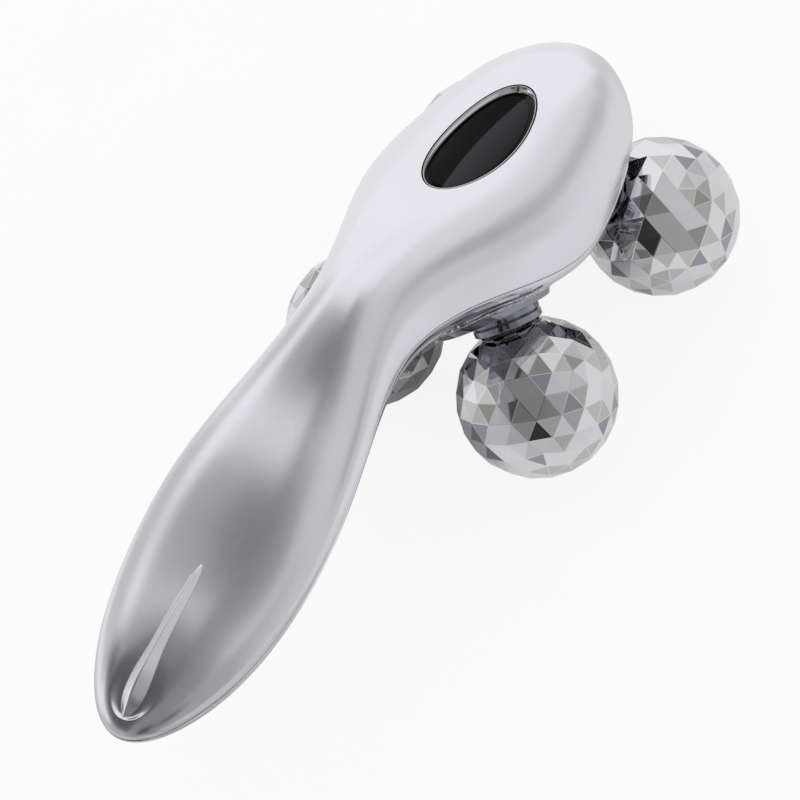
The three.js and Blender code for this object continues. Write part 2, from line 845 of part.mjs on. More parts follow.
// A screw that is driven from below
function upturned(solid) {
  return placed(solid, new THREE.Matrix4().makeRotationX(Math.PI));
}

function addShells(outer, inner) {
  add(massager, 'upper_shell', upperShell(outer, inner), finishes.plating());
  add(massager, 'lower_shell', lowerShell(outer, inner), finishes.plating());
  add(massager, 'seam_seal', seamRing(sealWidth, sealHeight), finishes.rubber());
  [['rear', caseScrewRear], ['front', caseScrewFront]].forEach(([place, x]) => {
    const seat = caseScrewSeat(x) - seatGap;
    const length = seam(x) - seat + screwLength - seatGap;
    const mesh = add(massager, `case_screw_${place}`, upturned(screw(length)), finishes.steel());
    mesh.position.set(x, 0, seat);
  });
}

function addWindow() {
  const group = framed(windowFrame);
  const rim = ovalPlate(bezelLength, bezelWidth, flangeBottom, bezelTop,
    bezelLength - 2 * bezelWall, bezelWidth - 2 * bezelWall);
  const flange = ovalPlate(flangeLength, flangeWidth, flangeBottom, flangeTop,
    bezelLength - 2 * bezelWall, bezelWidth - 2 * bezelWall);
  add(group, 'window_bezel', rim.add(flange), finishes.mirror());
  add(group, 'window_gasket', ovalPlate(flangeLength, flangeWidth, gasketTop - gasketThickness,
    gasketTop, bezelLength, bezelWidth), finishes.rubber());
  const plugLength = bezelLength - 2 * bezelWall - 2 * seatGap;
  const plugWidth = bezelWidth - 2 * bezelWall - 2 * seatGap;
  const plug = ovalPlate(plugLength, plugWidth, lensBottom, bezelTop - lensDrop);
  const foot = ovalPlate(flangeLength, flangeWidth, lensBottom, lensFlange);
  add(group, 'solar_window', plug.add(foot), finishes.glass());
  add(group, 'solar_cell', block(-cellLength / 2, cellLength / 2, -cellWidth / 2, cellWidth / 2,
    cellBottom, cellTop), finishes.cell());
  let tray = ovalPlate(carrierLength, flangeWidth + postDiameter, carrierBottom, carrierTop);
  [-carrierScrewX, carrierScrewX].forEach((x) => {
    tray = tray.subtract(screwHole(x, 0, carrierBottom - overrun, carrierTop + overrun));
  });
  add(group, 'cell_carrier', tray, finishes.polymer());
  [['rear', -carrierScrewX], ['front', carrierScrewX]].forEach(([place, x]) => {
    const mesh = add(group, `carrier_screw_${place}`, upturned(screw(screwLength)),
      finishes.steel());
    mesh.position.set(x, 0, carrierBottom - seatGap);
  });
}

function addChassis() {
  add(massager, 'axle_chassis', chassis(), finishes.castMetal());
  add(massager, 'chassis_terminal', terminal(), finishes.brass());
  chassisPostPlaces().forEach(([x, y], i) => {
    const raised = i === terminalPost ? contactThickness + seatGap : 0;
    const mesh = add(massager, `chassis_screw_${i + 1}`, screw(screwLength), finishes.steel());
    mesh.position.set(x, y, plateTop + seatGap + raised);
  });
}

function addWiring() {
  add(massager, 'handle_lead', cellLeadRear(), finishes.redLead());
  add(massager, 'roller_lead', cellLeadFront(), finishes.blackLead());
  const leaf = block(contactX - contactLength / 2, contactX + contactLength / 2,
    -contactWidth / 2, contactWidth / 2, contactFloor, contactFloor + contactThickness);
  add(massager, 'handle_contact', leaf, finishes.brass());
}

function addRoller(leg) {
  const group = framed(legFrame(leg));
  add(group, `roller_ball_${leg.name}`, ball(leg), finishes.mirror());
  add(group, `roller_hub_${leg.name}`,
    sleeve(bushRadius + seatGap, hubRadius, outerBush, poleFlat - seatGap), finishes.polymer());
  const bore = axleRadius + seatGap;
  add(group, `outer_bush_${leg.name}`,
    sleeve(bore, bushRadius, outerBush, outerBush + bushLength), finishes.brass());
  add(group, `inner_bush_${leg.name}`,
    sleeve(bore, bushRadius, innerBush, innerBush + bushLength), finishes.brass());
  add(group, `axle_${leg.name}`, axle(), finishes.steel());
  add(group, `clip_ring_${leg.name}`, clipRing(), finishes.steel());
  add(group, `leg_collar_${leg.name}`, legCollar(), finishes.mirror());
  const grub = rod(setScrewDiameter / 2, axleRadius + seatGap, chassisBoss / 2, smallSides);
  add(framed(setScrewFrame(leg)), `set_screw_${leg.name}`, grub, finishes.steel());
}

const outer = outerBody();
const inner = hollow();
addShells(outer, inner);
addWindow();
addChassis();
addWiring();
legs.forEach(addRoller);

export default massager;
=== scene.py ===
"""The looks of a plated body massage roller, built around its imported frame.

Lengths are millimetres, and x along the body counts from the tail's tip, as on a drawing of
the part. A mesh is brought to metres, and to the frame's own place, when its object is made.
"""

import math

import bmesh
import bpy
import numpy as np
from mathutils import Matrix, Vector


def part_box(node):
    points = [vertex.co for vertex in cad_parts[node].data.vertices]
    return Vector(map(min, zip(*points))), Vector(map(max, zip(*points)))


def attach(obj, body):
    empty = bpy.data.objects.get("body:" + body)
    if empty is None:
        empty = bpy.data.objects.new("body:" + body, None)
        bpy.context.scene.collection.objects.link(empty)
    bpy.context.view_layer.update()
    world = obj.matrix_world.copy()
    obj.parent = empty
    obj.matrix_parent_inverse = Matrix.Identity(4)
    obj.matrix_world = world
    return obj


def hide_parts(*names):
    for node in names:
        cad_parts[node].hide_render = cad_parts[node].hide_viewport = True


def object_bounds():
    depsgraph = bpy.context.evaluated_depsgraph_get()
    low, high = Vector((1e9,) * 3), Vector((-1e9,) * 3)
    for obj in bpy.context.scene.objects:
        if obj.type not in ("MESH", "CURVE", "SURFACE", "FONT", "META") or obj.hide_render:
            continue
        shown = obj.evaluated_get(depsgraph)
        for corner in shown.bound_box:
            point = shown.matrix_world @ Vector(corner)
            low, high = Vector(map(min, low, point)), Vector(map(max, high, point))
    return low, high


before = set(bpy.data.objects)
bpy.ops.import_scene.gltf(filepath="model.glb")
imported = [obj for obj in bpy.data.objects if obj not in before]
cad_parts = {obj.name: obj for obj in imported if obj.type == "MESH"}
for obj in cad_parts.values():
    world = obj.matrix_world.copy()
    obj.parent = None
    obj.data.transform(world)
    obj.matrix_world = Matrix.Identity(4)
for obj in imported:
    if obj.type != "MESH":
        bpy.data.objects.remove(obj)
cad_low, cad_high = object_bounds()

METRES = 0.001

# Body sizes, as on the frame, with the crowns a hair lower, as its skin is cut in flats
BODY_LENGTH = 188
HANDLE_WIDTH = 39.6
NECK_WIDTH = 26.4
HEAD_WIDTH = 51.6
HANDLE_CROWN = 7.8
NECK_CROWN = 12.94
HEAD_CROWN = 20.66
HANDLE_BELLY = 9.5
NECK_BELLY = 9.7
HEAD_BELLY = 11
NECK_LIFT = 15.75
WALL = 2.5
SQUARENESS = 0.0245

# Roller sizes, as on the frame
BALL_DIAMETER = 35
BALL_FREQUENCY = 4
TRACK_WIDTH = 44.2
COLLAR_DIAMETER = 15.4
COLLAR_LENGTH = 3.6
LEG_END_DIAMETER = 19.6
AXLE_DIAMETER = 5
HUB_DIAMETER = 12.6
BALL_FLOOR = 5.2
AXLE_GRIP = 14
LEG_TILT = 45
LEG_TURN = 38
REAR_ROLLER_SHARE = 0.6383
FRONT_ROLLER_SHARE = 0.9191

# Window sizes
WINDOW_SHARE = 0.785
WINDOW_LENGTH = 37
WINDOW_WIDTH = 16.8
BEZEL_WALL = 1
BEZEL_FOOT = 4.2
BEZEL_LIP = 0.25
LIP_DROP = 0.05
LIP_STEP = 0.05
FUNNEL_DEPTH = 1.25
LENS_DROP = 1.3
LENS_STEP = 0.35
LENS_GAP = 0.1
LENS_RINGS = 24
LENS_RING_SHARES = (0.02, 0.93)
# The step round the lens, as (share of its reach, depth)
LENS_EDGE = ((0.935, 0.02), (0.94, 0.1), (0.945, 0.22), (0.95, LENS_STEP), (0.97, LENS_STEP),
             (1, LENS_STEP))
# The painted reflection on the lens: how far from the middle its edge lies, how the edge bows, how
# soft it is, and the share it fades to across the lens
PAINTED_REFLECTION_EDGE = 0.6
PAINTED_REFLECTION_BOW = 0.006
PAINTED_REFLECTION_BLUR = 0.25
PAINTED_REFLECTION_FADE = 0.3

# Scoop in the tail and the lance that stands in it
SCOOP_START = 2.7
SCOOP_LENGTH = 28
SCOOP_WIDTH = 15.5
SCOOP_DEPTH = 0.8
SCOOP_WALL = 0.07
SCOOP_OPENING = 0.5
LANCE_TIP = 36
LANCE_WIDTH = 5
LANCE_SLOPE = 0.68
LANCE_FOOT = 1.2
CREST_ROUND = 0.07
LANCE_END = 0.07
LEAST_LANCE = 0.02
# Where along the body the sections' points begin to follow the scoop's rim and the lance's
# edge, and the share of the lance at which they stop
RIM_PLACE = 4.5
EDGE_PLACE = 3
EDGE_LAST_SHARE = 0.9

# Gaps between pieces, how far a cutter runs past what it cuts, and the seam's rounding
SEAT_GAP = 0.3
RUN_GAP = 0.7
OVERRUN = 4
SEAM_ROUND = 0.15
LIP_SHARE = 0.15
LIP_BEVEL = 0.3
SAME_PLACE = 0.01

# Legs, collars and facets, in the shapes that only the looks have
FAIRING_REAR = 27.5
FAIRING_MIDDLE = 15
FAIRING_FRONT = 12
FAIRING_SIDE = 14.2
FAIRING_SOFTNESS = 0.12
FAIRING_BLEND = 4.5
FAIRING_DROP = 1
FAIRING_RISE = 5
LEAST_BLEND_SHARE = 0.001
FAIRING_SIDES = 48
LEAST_FACE = 0.05
FAR = 60
RIM_FLARE = 1.1
RIM_RISE = 1.6
RIM_EDGE = 0.12
RIM_THICKNESS = 0.5
RIM_TURN_SHARES = np.linspace(0.1, 1, 8)
DISH_DEPTH = 1.1
DISH_RIM = 0.7
DISH_FOOT = 1.5
SEAT_INSET = 1.2
SCREW_SINK_RADIUS = 2.3
SCREW_SEAT = 1.4
COLLAR_EDGE = 0.45
COLLAR_GROOVE = 0.3
# The painted shade on the legs: the name of its mask, and how far it reaches past a fairing
LEG_PAINTED_SHADE_SHARE = "leg_painted_shade"
LEG_SHADE_REACH = 2.5
FACET_ROUND = 0.11
FACET_TILT = 0.07
FACET_SEED = 5
FACET_LEAST_DOT = 0.8
FACET_AREA = 3e-6
# Shares of the facets given the plain, the grey and the dark painted reflection
FACET_PAINTED_REFLECTION_SHARES = (0.6, 0.28, 0.12)

# Places along the body, as [share of the length, size followed, share of that size]
WIDTH_SHARES = (
    (0.06, HANDLE_WIDTH, 0.325),
    (0.16, HANDLE_WIDTH, 0.48),
    (0.3, HANDLE_WIDTH, 0.5),
    (0.42, NECK_WIDTH, 0.59),
    (0.53, NECK_WIDTH, 0.5),
    (0.64, HEAD_WIDTH, 0.374),
    (0.76, HEAD_WIDTH, 0.5),
    (0.88, HEAD_WIDTH, 0.425),
    (0.96, HEAD_WIDTH, 0.275),
)
CROWN_SHARES = (
    (0.06, HANDLE_CROWN, 0.7),
    (0.16, HANDLE_CROWN, 0.9),
    (0.3, HANDLE_CROWN, 1),
    (0.42, NECK_CROWN, 0.65),
    (0.53, NECK_CROWN, 1),
    (0.64, HEAD_CROWN, 0.85),
    (0.76, HEAD_CROWN, 1),
    (0.88, HEAD_CROWN, 0.85),
    (0.96, HEAD_CROWN, 0.56),
)
BELLY_SHARES = (
    (0.06, HANDLE_BELLY, 0.68),
    (0.16, HANDLE_BELLY, 0.94),
    (0.3, HANDLE_BELLY, 1),
    (0.42, NECK_BELLY, 0.87),
    (0.53, NECK_BELLY, 1),
    (0.64, HEAD_BELLY, 1.04),
    (0.76, HEAD_BELLY, 1),
    (0.88, HEAD_BELLY, 0.91),
    (0.96, HEAD_BELLY, 0.73),
)
SEAM_SHARES = (
    (0, NECK_LIFT, 0.035),
    (0.06, NECK_LIFT, 0.115),
    (0.16, NECK_LIFT, 0.3),
    (0.3, NECK_LIFT, 0.682),
    (0.42, NECK_LIFT, 0.95),
    (0.53, NECK_LIFT, 1),
    (0.64, NECK_LIFT, 0.65),
    (0.76, NECK_LIFT, 0.115),
    (0.88, NECK_LIFT, 0.041),
    (0.96, NECK_LIFT, 0.098),
    (1, NECK_LIFT, 0.195),
)
# The lance's half width, as [share of its length, size, share of that size]
LANCE_SHARES = (
    (0, LANCE_WIDTH, 0.04),
    (0.1, LANCE_WIDTH, 0.16),
    (0.17, LANCE_WIDTH, 0.38),
    (0.26, LANCE_WIDTH, 0.48),
    (0.37, LANCE_WIDTH, 0.42),
    (0.48, LANCE_WIDTH, 0.32),
    (0.62, LANCE_WIDTH, 0.26),
    (0.78, LANCE_WIDTH, 0.21),
    (0.9, LANCE_WIDTH, 0.17),
    (1, LANCE_WIDTH, 0.15),
)
CAVITY_START = 0.2 * BODY_LENGTH
CAVITY_END = 0.965 * BODY_LENGTH
SOLID_SHARE = 0.4
LEAST_HOLLOW = 0.1

# How finely the skins are drawn: steps along the body, and points round a section
TAIL_START = 0.07
HEAD_END = BODY_LENGTH - 0.003
END_STEP = 0.02
END_GROWTH = 0.2
SECTION_STEP = 0.85
LANCE_STEP = 0.4
LANCE_REGION = 46
FOOT_STEP = 0.14
FOOT_REGION = (1.5, 9)
FLANK_POINTS = 46
LOBE_POINTS = 22
LANCE_POINTS = 12
BELLY_POINTS = 181
HOLLOW_POINTS = 25
# The lower skin is sought along each ray from this share of the plain belly to this reach
BELLY_FIRST_SHARE = 0.97
BELLY_REACH = 46
SEARCH_STEPS = 20
ANGLE_STEPS = 4
LEG_MARGINS = (26, 6)
ROD_SIDES = 64
TURNED_SIDES = 96
OVAL_SIDES = 144
ROUND_STEPS = 5
AXIS_HOLE = 0.01

# Camera, fitted to the photograph
CAMERA_AZIMUTH = -43.38
CAMERA_ELEVATION = 53.02
CAMERA_ROLL = -18.05
CAMERA_DISTANCE = 0.905
CAMERA_TARGET = (0.0026, -0.0049, 0.035)
CAMERA_LENS = 194.5
CAMERA_SENSOR = 36
CAMERA_CLIP = 20

# The grain of the finishes: where noise is dark and light, grains to a metre, and relief
NOISE_LOW, NOISE_HIGH = 0.3, 0.7
BROAD_SCALE = 25
PLATING_SCALE = 900
MIRROR_SCALE = 700
METAL_GRAIN = 0.0001
MATTE_GRAIN = 0.0002

# The studio that the plating reflects
STUDIO_HEIGHT = 0.04
FLOOR_REACH = 3
FLOOR_DROP = 0.00005
FLOOR_SEEN = 0.88
FLOOR_REFLECTED = 0.5
PLAIN_LEVEL = 0.9
STUDIO_LEVEL = 0.55
# Each panel: azimuth, elevation, width, height and softness in degrees, and its brightness.
# It covers those before it.
STUDIO_PANELS = (
    (-82, 40, 56, 74, 20, 0.62),
    (-68, -24, 62, 52, 20, 0.8),
    (-88, -18, 24, 60, 12, 0.62),
    (-120, -58, 160, 44, 14, 0.85),
    (-143, 8, 84, 100, 14, 0.38),
    (-165, 40, 50, 60, 14, 0.24),
    (-166, 26, 16, 26, 4, 0.04),
    (-140, 35, 14, 14, 4, 0.08),
    (-176, -14, 22, 30, 4, 0.04),
    (-152, -10, 14, 34, 4, 0.05),
    (-158, 70, 76, 30, 14, 0.25),
    (160, 0, 50, 60, 16, 0.34),
    (132, 12, 66, 32, 10, 0.45),
    (132, 46, 72, 42, 8, 0.08),
    (118, 16, 30, 14, 5, 0.95),
    (120, -62, 110, 50, 16, 0.8),
    (-22, 20, 60, 110, 26, 0.78),
    (44, -5, 96, 104, 12, 0.98),
    (41, 62, 88, 32, 12, 0.95),
    (95, 56, 22, 34, 9, 0.4),
    (-56, 33, 28, 16, 10, 0.42),
    (-40, 28, 20, 18, 10, 0.48),
    (-26, 17, 20, 20, 10, 0.56),
    (-10, 5, 18, 20, 10, 0.6),
    (4, -12, 18, 26, 10, 0.6),
    (14, -31, 22, 14, 8, 0.5),
    (106, -6, 26, 30, 8, 0.95),
    (83, 5, 20, 42, 8, 0.6),
    (138, 74, 80, 22, 8, 0.17),
    (100, 81, 110, 10, 6, 0.22),
    (0, 90, 360, 12, 8, 0.33),
    (10, -66, 70, 48, 14, 0.1),
    (0, -82, 360, 30, 14, 0.12),
)

# Curves along the body


def table_of(shares, length):
    """The places and the sizes of a table of shares."""
    return (np.array([share * length for share, _, _ in shares]),
            np.array([size * part for _, size, part in shares]))


def spline(shares, length, level):
    """A smooth curve through the places of a table. Level: it leaves both ends level."""
    return spline_through(*table_of(shares, length), level)


def spline_through(places, values, level):
    steps = np.diff(places)
    slopes = np.diff(values) / steps
    count = len(places)
    system = np.eye(count)
    right = np.zeros(count)
    for i in range(1, count - 1):
        system[i, i - 1 : i + 2] = steps[i - 1], 2 * (steps[i - 1] + steps[i]), steps[i]
        right[i] = 6 * (slopes[i] - slopes[i - 1])
    if level:
        system[0, :2] = 2 * steps[0], steps[0]
        system[-1, -2:] = steps[-1], 2 * steps[-1]
        right[0], right[-1] = 6 * slopes[0], -6 * slopes[-1]
    bends = np.linalg.solve(system, right)

    def curve(x):
        x = np.clip(x, places[0], places[-1])
        i = np.clip(np.searchsorted(places, x) - 1, 0, count - 2)
        before, after = x - places[i], places[i + 1] - x
        straight = (values[i] * after + values[i + 1] * before) / steps[i]
        pull = bends[i] * (after**3 / steps[i] - after * steps[i])
        pull = pull + bends[i + 1] * (before**3 / steps[i] - before * steps[i])
        return straight + pull / 6

    return curve


def round_ended(shares):
    """A size along the body that closes to nothing with a round nose at each end."""
    places, sizes = table_of(shares, BODY_LENGTH)
    fullness = spline_through(places, sizes**2 / (places * (BODY_LENGTH - places)), True)
    return lambda x: np.sqrt(np.maximum(fullness(x) * x * (BODY_LENGTH - x), 1e-9))


half_width = round_ended(WIDTH_SHARES)
crown = round_ended(CROWN_SHARES)
belly = round_ended(BELLY_SHARES)
lift = spline(SEAM_SHARES, BODY_LENGTH, False)
lance_half = spline(LANCE_SHARES, LANCE_TIP, True)


# The ball and the places that follow from it


def turns(count):
    """The angles of even steps round a circle."""
    return [2 * math.pi * i / count for i in range(count)]


def geodesic(radius, frequency):
    """Corners and facets of a geodesic ball, turned so that one facet lies flat underneath."""
    golden = (1 + math.sqrt(5)) / 2
    seeds = [Vector((a, b * golden, 0)) for b in (1, -1) for a in (-1, 1)]
    seeds += [Vector((0, a, b * golden)) for b in (1, -1) for a in (-1, 1)]
    seeds += [Vector((a * golden, 0, b)) for a in (1, -1) for b in (-1, 1)]
    hull = bmesh.new()
    for seed in seeds:
        hull.verts.new(seed)
    bmesh.ops.convex_hull(hull, input=hull.verts)
    facet = Vector((-1, 1, 1)).normalized()
    turn = facet.rotation_difference(Vector((0, 0, -1)))
    corners, facets = [], []

    def corner(point):
        point = turn @ (point.normalized() * radius)
        near = [i for i, other in enumerate(corners) if (other - point).length < SAME_PLACE]
        if near:
            return near[0]
        corners.append(point)
        return len(corners) - 1

    for face in hull.faces:
        a, b, c = (v.co.copy() for v in face.verts)
        grid = {}
        for i in range(frequency + 1):
            for j in range(frequency + 1 - i):
                grid[i, j] = corner(a + (b - a) * (i / frequency) + (c - a) * (j / frequency))
        for i in range(frequency):
            for j in range(frequency - i):
                facets.append((grid[i, j], grid[i + 1, j], grid[i, j + 1]))
                if i + j < frequency - 1:
                    facets.append((grid[i + 1, j], grid[i + 1, j + 1], grid[i, j + 1]))
    hull.free()
    return corners, facets


BALL_RADIUS = BALL_DIAMETER / 2
BALL_CORNERS, BALL_FACETS = geodesic(BALL_RADIUS, BALL_FREQUENCY)
BALL_CENTRE_Z = -min(corner.z for corner in BALL_CORNERS)
REAR_ROLLER = REAR_ROLLER_SHARE * BODY_LENGTH
FRONT_ROLLER = FRONT_ROLLER_SHARE * BODY_LENGTH
TAIL_X = -cad_high.x / METRES

COLLAR_RADIUS = COLLAR_DIAMETER / 2
POLE_FLAT = math.sqrt(BALL_RADIUS**2 - COLLAR_RADIUS**2)
COLLAR_START = POLE_FLAT + RUN_GAP
LEG_END = COLLAR_START + COLLAR_LENGTH + SEAT_GAP
AXLE_ROOT = LEG_END + AXLE_GRIP

LEGS = (
    {"name": "rear_left", "x": REAR_ROLLER, "side": 1, "lean": -1},
    {"name": "rear_right", "x": REAR_ROLLER, "side": -1, "lean": -1},
    {"name": "front_left", "x": FRONT_ROLLER, "side": 1, "lean": 1},
    {"name": "front_right", "x": FRONT_ROLLER, "side": -1, "lean": 1},
)


def inward_of(leg):
    """The direction up a leg's axle, from the ball to the body."""
    tilt, turn = math.radians(LEG_TILT), math.radians(LEG_TURN)
    return Vector((
        -leg["lean"] * math.cos(tilt) * math.sin(turn),
        -leg["side"] * math.cos(tilt) * math.cos(turn),
        math.sin(tilt),
    ))


def leg_frame(leg):
    """The leg's frame: its origin is the ball's centre and its +Z runs up the axle."""
    centre = Vector((leg["x"], leg["side"] * TRACK_WIDTH / 2, BALL_CENTRE_Z))
    turn = Vector((0, 0, 1)).rotation_difference(inward_of(leg))
    return Matrix.Translation(centre) @ turn.to_matrix().to_4x4()


def leg_point(leg, along):
    return leg_frame(leg) @ Vector((0, 0, along))


ROOT_HEIGHT = leg_point(LEGS[0], AXLE_ROOT).z


def seam(x):
    return ROOT_HEIGHT + lift(x)


# The skin as a field: how far a point stands outside it, in millimetres


def bulge(angle):
    """How much fuller than an ellipse the section is."""
    return 1 + SQUARENESS * np.sin(2 * angle) ** 2


def body_field(x, y, z):
    rise = z - seam(x)
    high = np.where(rise > 0, crown(x), belly(x))
    across, up = y / half_width(x), rise / high
    angle = np.arctan2(up, across)
    full = bulge(angle)
    reach = np.hypot(full * np.cos(angle) * half_width(x), full * np.sin(angle) * high)
    return (np.hypot(across, up) / full - 1) * reach


def eased(share):
    """A share held between nothing and one, with soft ends."""
    share = np.clip(share, 0, 1)
    return share * share * (3 - 2 * share)


def lance_edge(x):
    """The lance's half width, closed by a round tip."""
    ending = np.clip((1 - x / LANCE_TIP) / LANCE_END, 0, 1)
    return np.maximum(lance_half(x) * np.sqrt(1 - (1 - ending) ** 2), LEAST_LANCE)


def scoop_sink(x, y):
    """How far the scoop and its lance lie below the plain crown. The scoop is deepest at the
    tail, where its rim is crisp, and its sides and its far end run out softly."""
    along = (x - SCOOP_START) / SCOOP_LENGTH
    reach = np.hypot(2 * along - 1, 2 * y / SCOOP_WIDTH)
    softness = SCOOP_WALL + (1 - SCOOP_WALL) * eased(along / SCOOP_OPENING)
    wall = eased((1 - reach) / softness)
    depth = SCOOP_DEPTH * (1 - eased(along))
    slant = np.hypot(y / lance_edge(x), CREST_ROUND) - CREST_ROUND
    ridge = np.clip(1 - slant, 0, 1) * eased((x - SCOOP_START) / LANCE_FOOT)
    return depth * wall - LANCE_SLOPE * lance_edge(x) * ridge


def upper_field(x, y, z):
    return body_field(x, y, z + scoop_sink(x, y))


def fairing_planes(leg):
    """The faces of the straight-sided fairing from a leg's round end to the body."""
    frame_of_leg = leg_frame(leg)
    root = leg_point(leg, AXLE_ROOT)
    hull = bmesh.new()
    outer_reach = FAIRING_REAR if leg["lean"] < 0 else FAIRING_FRONT
    for angle in turns(FAIRING_SIDES):
        rim = Vector((math.cos(angle), math.sin(angle), 0)) * (LEG_END_DIAMETER / 2 - RIM_FLARE)
        for along in (LEG_END - COLLAR_LENGTH, LEG_END):
            hull.verts.new(frame_of_leg @ (rim + Vector((0, 0, along))))
        outward = math.cos(angle) * leg["lean"] > 0
        reach = outer_reach if outward else FAIRING_MIDDLE
        hull.verts.new((
            root.x + math.cos(angle) * reach,
            root.y + math.sin(angle) * FAIRING_SIDE,
            float(seam(root.x)),
        ))
    bmesh.ops.convex_hull(hull, input=hull.verts)
    hull.normal_update()
    faces = [f for f in hull.faces if f.calc_area() > LEAST_FACE]
    normals = np.array([f.normal for f in faces])
    depths = np.array([f.normal.dot(f.verts[0].co) for f in faces])
    corners = np.array([v.co for v in hull.verts])
    flip = np.sign(depths - normals @ corners.mean(0))
    hull.free()
    low, high = corners.min(0) - 2 * FAIRING_BLEND, corners.max(0) + 2 * FAIRING_BLEND
    return normals * flip[:, None], depths * flip, low, high


FAIRINGS = [fairing_planes(leg) for leg in LEGS]


def fairing_field(fairing, x, y, z):
    """How far a point is outside a fairing. Far from it the answer is only a large number."""
    normals, depths, low, high = fairing
    points = np.stack([x, y, z], -1)
    near = ((points > low) & (points < high)).all(-1)
    field = np.full(np.shape(x), FAR)
    reach = (points[near] @ normals.T - depths) / FAIRING_SOFTNESS
    peak = reach.max(-1, keepdims=True)
    total = np.log(np.exp(np.clip(reach - peak, -60, 0)).sum(-1))
    field[near] = FAIRING_SOFTNESS * (peak[:, 0] + total)
    return field


def soft_union(a, b, blend):
    share = np.clip(0.5 + 0.5 * (b - a) / blend, 0, 1)
    return b + (a - b) * share - blend * share * (1 - share)


def lower_field(x, y, z):
    field = body_field(x, y, z)
    deep = (seam(x) - FAIRING_DROP - z) / FAIRING_RISE
    blend = np.clip(deep, LEAST_BLEND_SHARE, 1) * FAIRING_BLEND
    for fairing in FAIRINGS:
        field = soft_union(field, fairing_field(fairing, x, y, z), blend)
    return field


# Meshes


def place_in_frame(points):
    """Points in millimetres from the tail's tip, as metres in the frame."""
    return (np.asarray(points, float) + (TAIL_X, 0, 0)) * METRES


def drawn_from(points):
    """Points in the frame, as millimetres from the tail's tip."""
    return np.asarray(points, float) / METRES - (TAIL_X, 0, 0)


def read_all(parts, name, kind=int, width=1):
    """One value of all of a mesh's vertices, corners or faces, as an array."""
    values = np.zeros(len(parts) * width, kind)
    parts.foreach_get(name, values)
    return values if width == 1 else values.reshape(-1, width)


def drawn_vertices(mesh):
    """The x, y and z of a mesh's vertices, as on the drawing."""
    return drawn_from(read_all(mesh.vertices, "co", float, 3)).T


def object_of(name, points, faces):
    mesh = bpy.data.meshes.new(name)
    placed = place_in_frame(points)
    mesh.from_pydata([tuple(p) for p in placed], [], [tuple(f) for f in faces])
    turn_faces_out(mesh)
    made = bpy.data.objects.new(name, mesh)
    bpy.context.scene.collection.objects.link(made)
    return made


def turn_faces_out(mesh):
    work = bmesh.new()
    work.from_mesh(mesh)
    bmesh.ops.recalc_face_normals(work, faces=work.faces)
    if work.calc_volume(signed=True) < 0:
        bmesh.ops.reverse_faces(work, faces=work.faces)
    work.to_mesh(mesh)
    work.free()


def looped(rings, closed=False):
    """Points and faces of a closed skin over rings of points, each a loop of one count.
    Closed: the last ring joins the first; else each end is shut by a fan to its centre."""
    count, sides = len(rings), len(rings[0])
    points = np.concatenate(rings)
    index = np.arange(count * sides).reshape(count, sides)
    after = np.roll(index, -1, axis=1)
    last = count if closed else count - 1
    following = np.roll(index, -1, axis=0)
    quads = np.stack([index, after, np.roll(after, -1, axis=0), following], -1)[:last]
    faces = [tuple(q) for q in quads.reshape(-1, 4)]
    if not closed:
        ends = [rings[0].mean(0), rings[-1].mean(0)]
        points = np.concatenate([points, ends])
        start, end = len(points) - 2, len(points) - 1
        faces += [(start, after[0, i], index[0, i]) for i in range(sides)]
        faces += [(end, index[-1, i], after[-1, i]) for i in range(sides)]
    return points, faces


def turned(name, profile, matrix):
    """A piece turned round its +Z from a closed loop of (radius, height) points."""
    rings = []
    for angle in turns(TURNED_SIDES):
        ring = [(r * math.cos(angle), r * math.sin(angle), h) for r, h in profile]
        rings.append(np.array([matrix @ Vector(p) for p in ring]))
    points, faces = looped(rings, closed=True)
    return object_of(name, points, faces)


def oval_point(half_length, half_wide, angle, height):
    return Vector((half_length * math.cos(angle), half_wide * math.sin(angle), height))


def oval_rod(name, length, width, start, end, matrix, sides=OVAL_SIDES):
    points, faces = looped([
        np.array([matrix @ oval_point(length / 2, width / 2, angle, height)
                  for angle in turns(sides)])
        for height in (start, end)])
    return object_of(name, points, faces)


def rod(name, radius, start, end, matrix):
    return oval_rod(name, 2 * radius, 2 * radius, start, end, matrix, ROD_SIDES)


def cut(piece, cutter, operation="DIFFERENCE"):
    """Cuts or joins a piece by another, which is used up."""
    modifier = piece.modifiers.new("cut", "BOOLEAN")
    modifier.solver = "MANIFOLD"
    modifier.operation = operation
    modifier.object = cutter
    depsgraph = bpy.context.evaluated_depsgraph_get()
    made = bpy.data.meshes.new_from_object(piece.evaluated_get(depsgraph))
    made.materials.clear()
    piece.modifiers.clear()
    before = piece.data
    piece.data = made
    made.name = piece.name
    bpy.data.meshes.remove(before)
    bpy.data.objects.remove(cutter)
    return piece


def shade_smooth(piece, limit=35):
    piece.data.shade_smooth()
    piece.data.set_sharp_from_angle(angle=math.radians(limit))


def shade_by_field(piece, field, tolerance=0.02):
    """Gives the faces that lie on a field's skin the field's own normals."""
    shade_smooth(piece)
    mesh = piece.data
    x, y, z = drawn_vertices(mesh)
    on_skin = np.abs(field(x, y, z)) < tolerance
    step = 0.01
    slopes = np.stack([
        field(x + step, y, z) - field(x - step, y, z),
        field(x, y + step, z) - field(x, y - step, z),
        field(x, y, z + step) - field(x, y, z - step),
    ], -1)
    slopes /= np.maximum(np.linalg.norm(slopes, axis=1, keepdims=True), 1e-9)
    corners = read_all(mesh.loops, "vertex_index")
    normals = read_all(mesh.corner_normals, "vector", float, 3)
    starts = read_all(mesh.polygons, "loop_start")
    totals = read_all(mesh.polygons, "loop_total")
    whole = np.logical_and.reduceat(on_skin[corners], starts)
    agree = (normals * slopes[corners]).sum(1) > 0.5
    chosen = np.repeat(whole, totals) & agree
    normals[chosen] = slopes[corners][chosen]
    mesh.normals_split_custom_set(normals)


# Shells


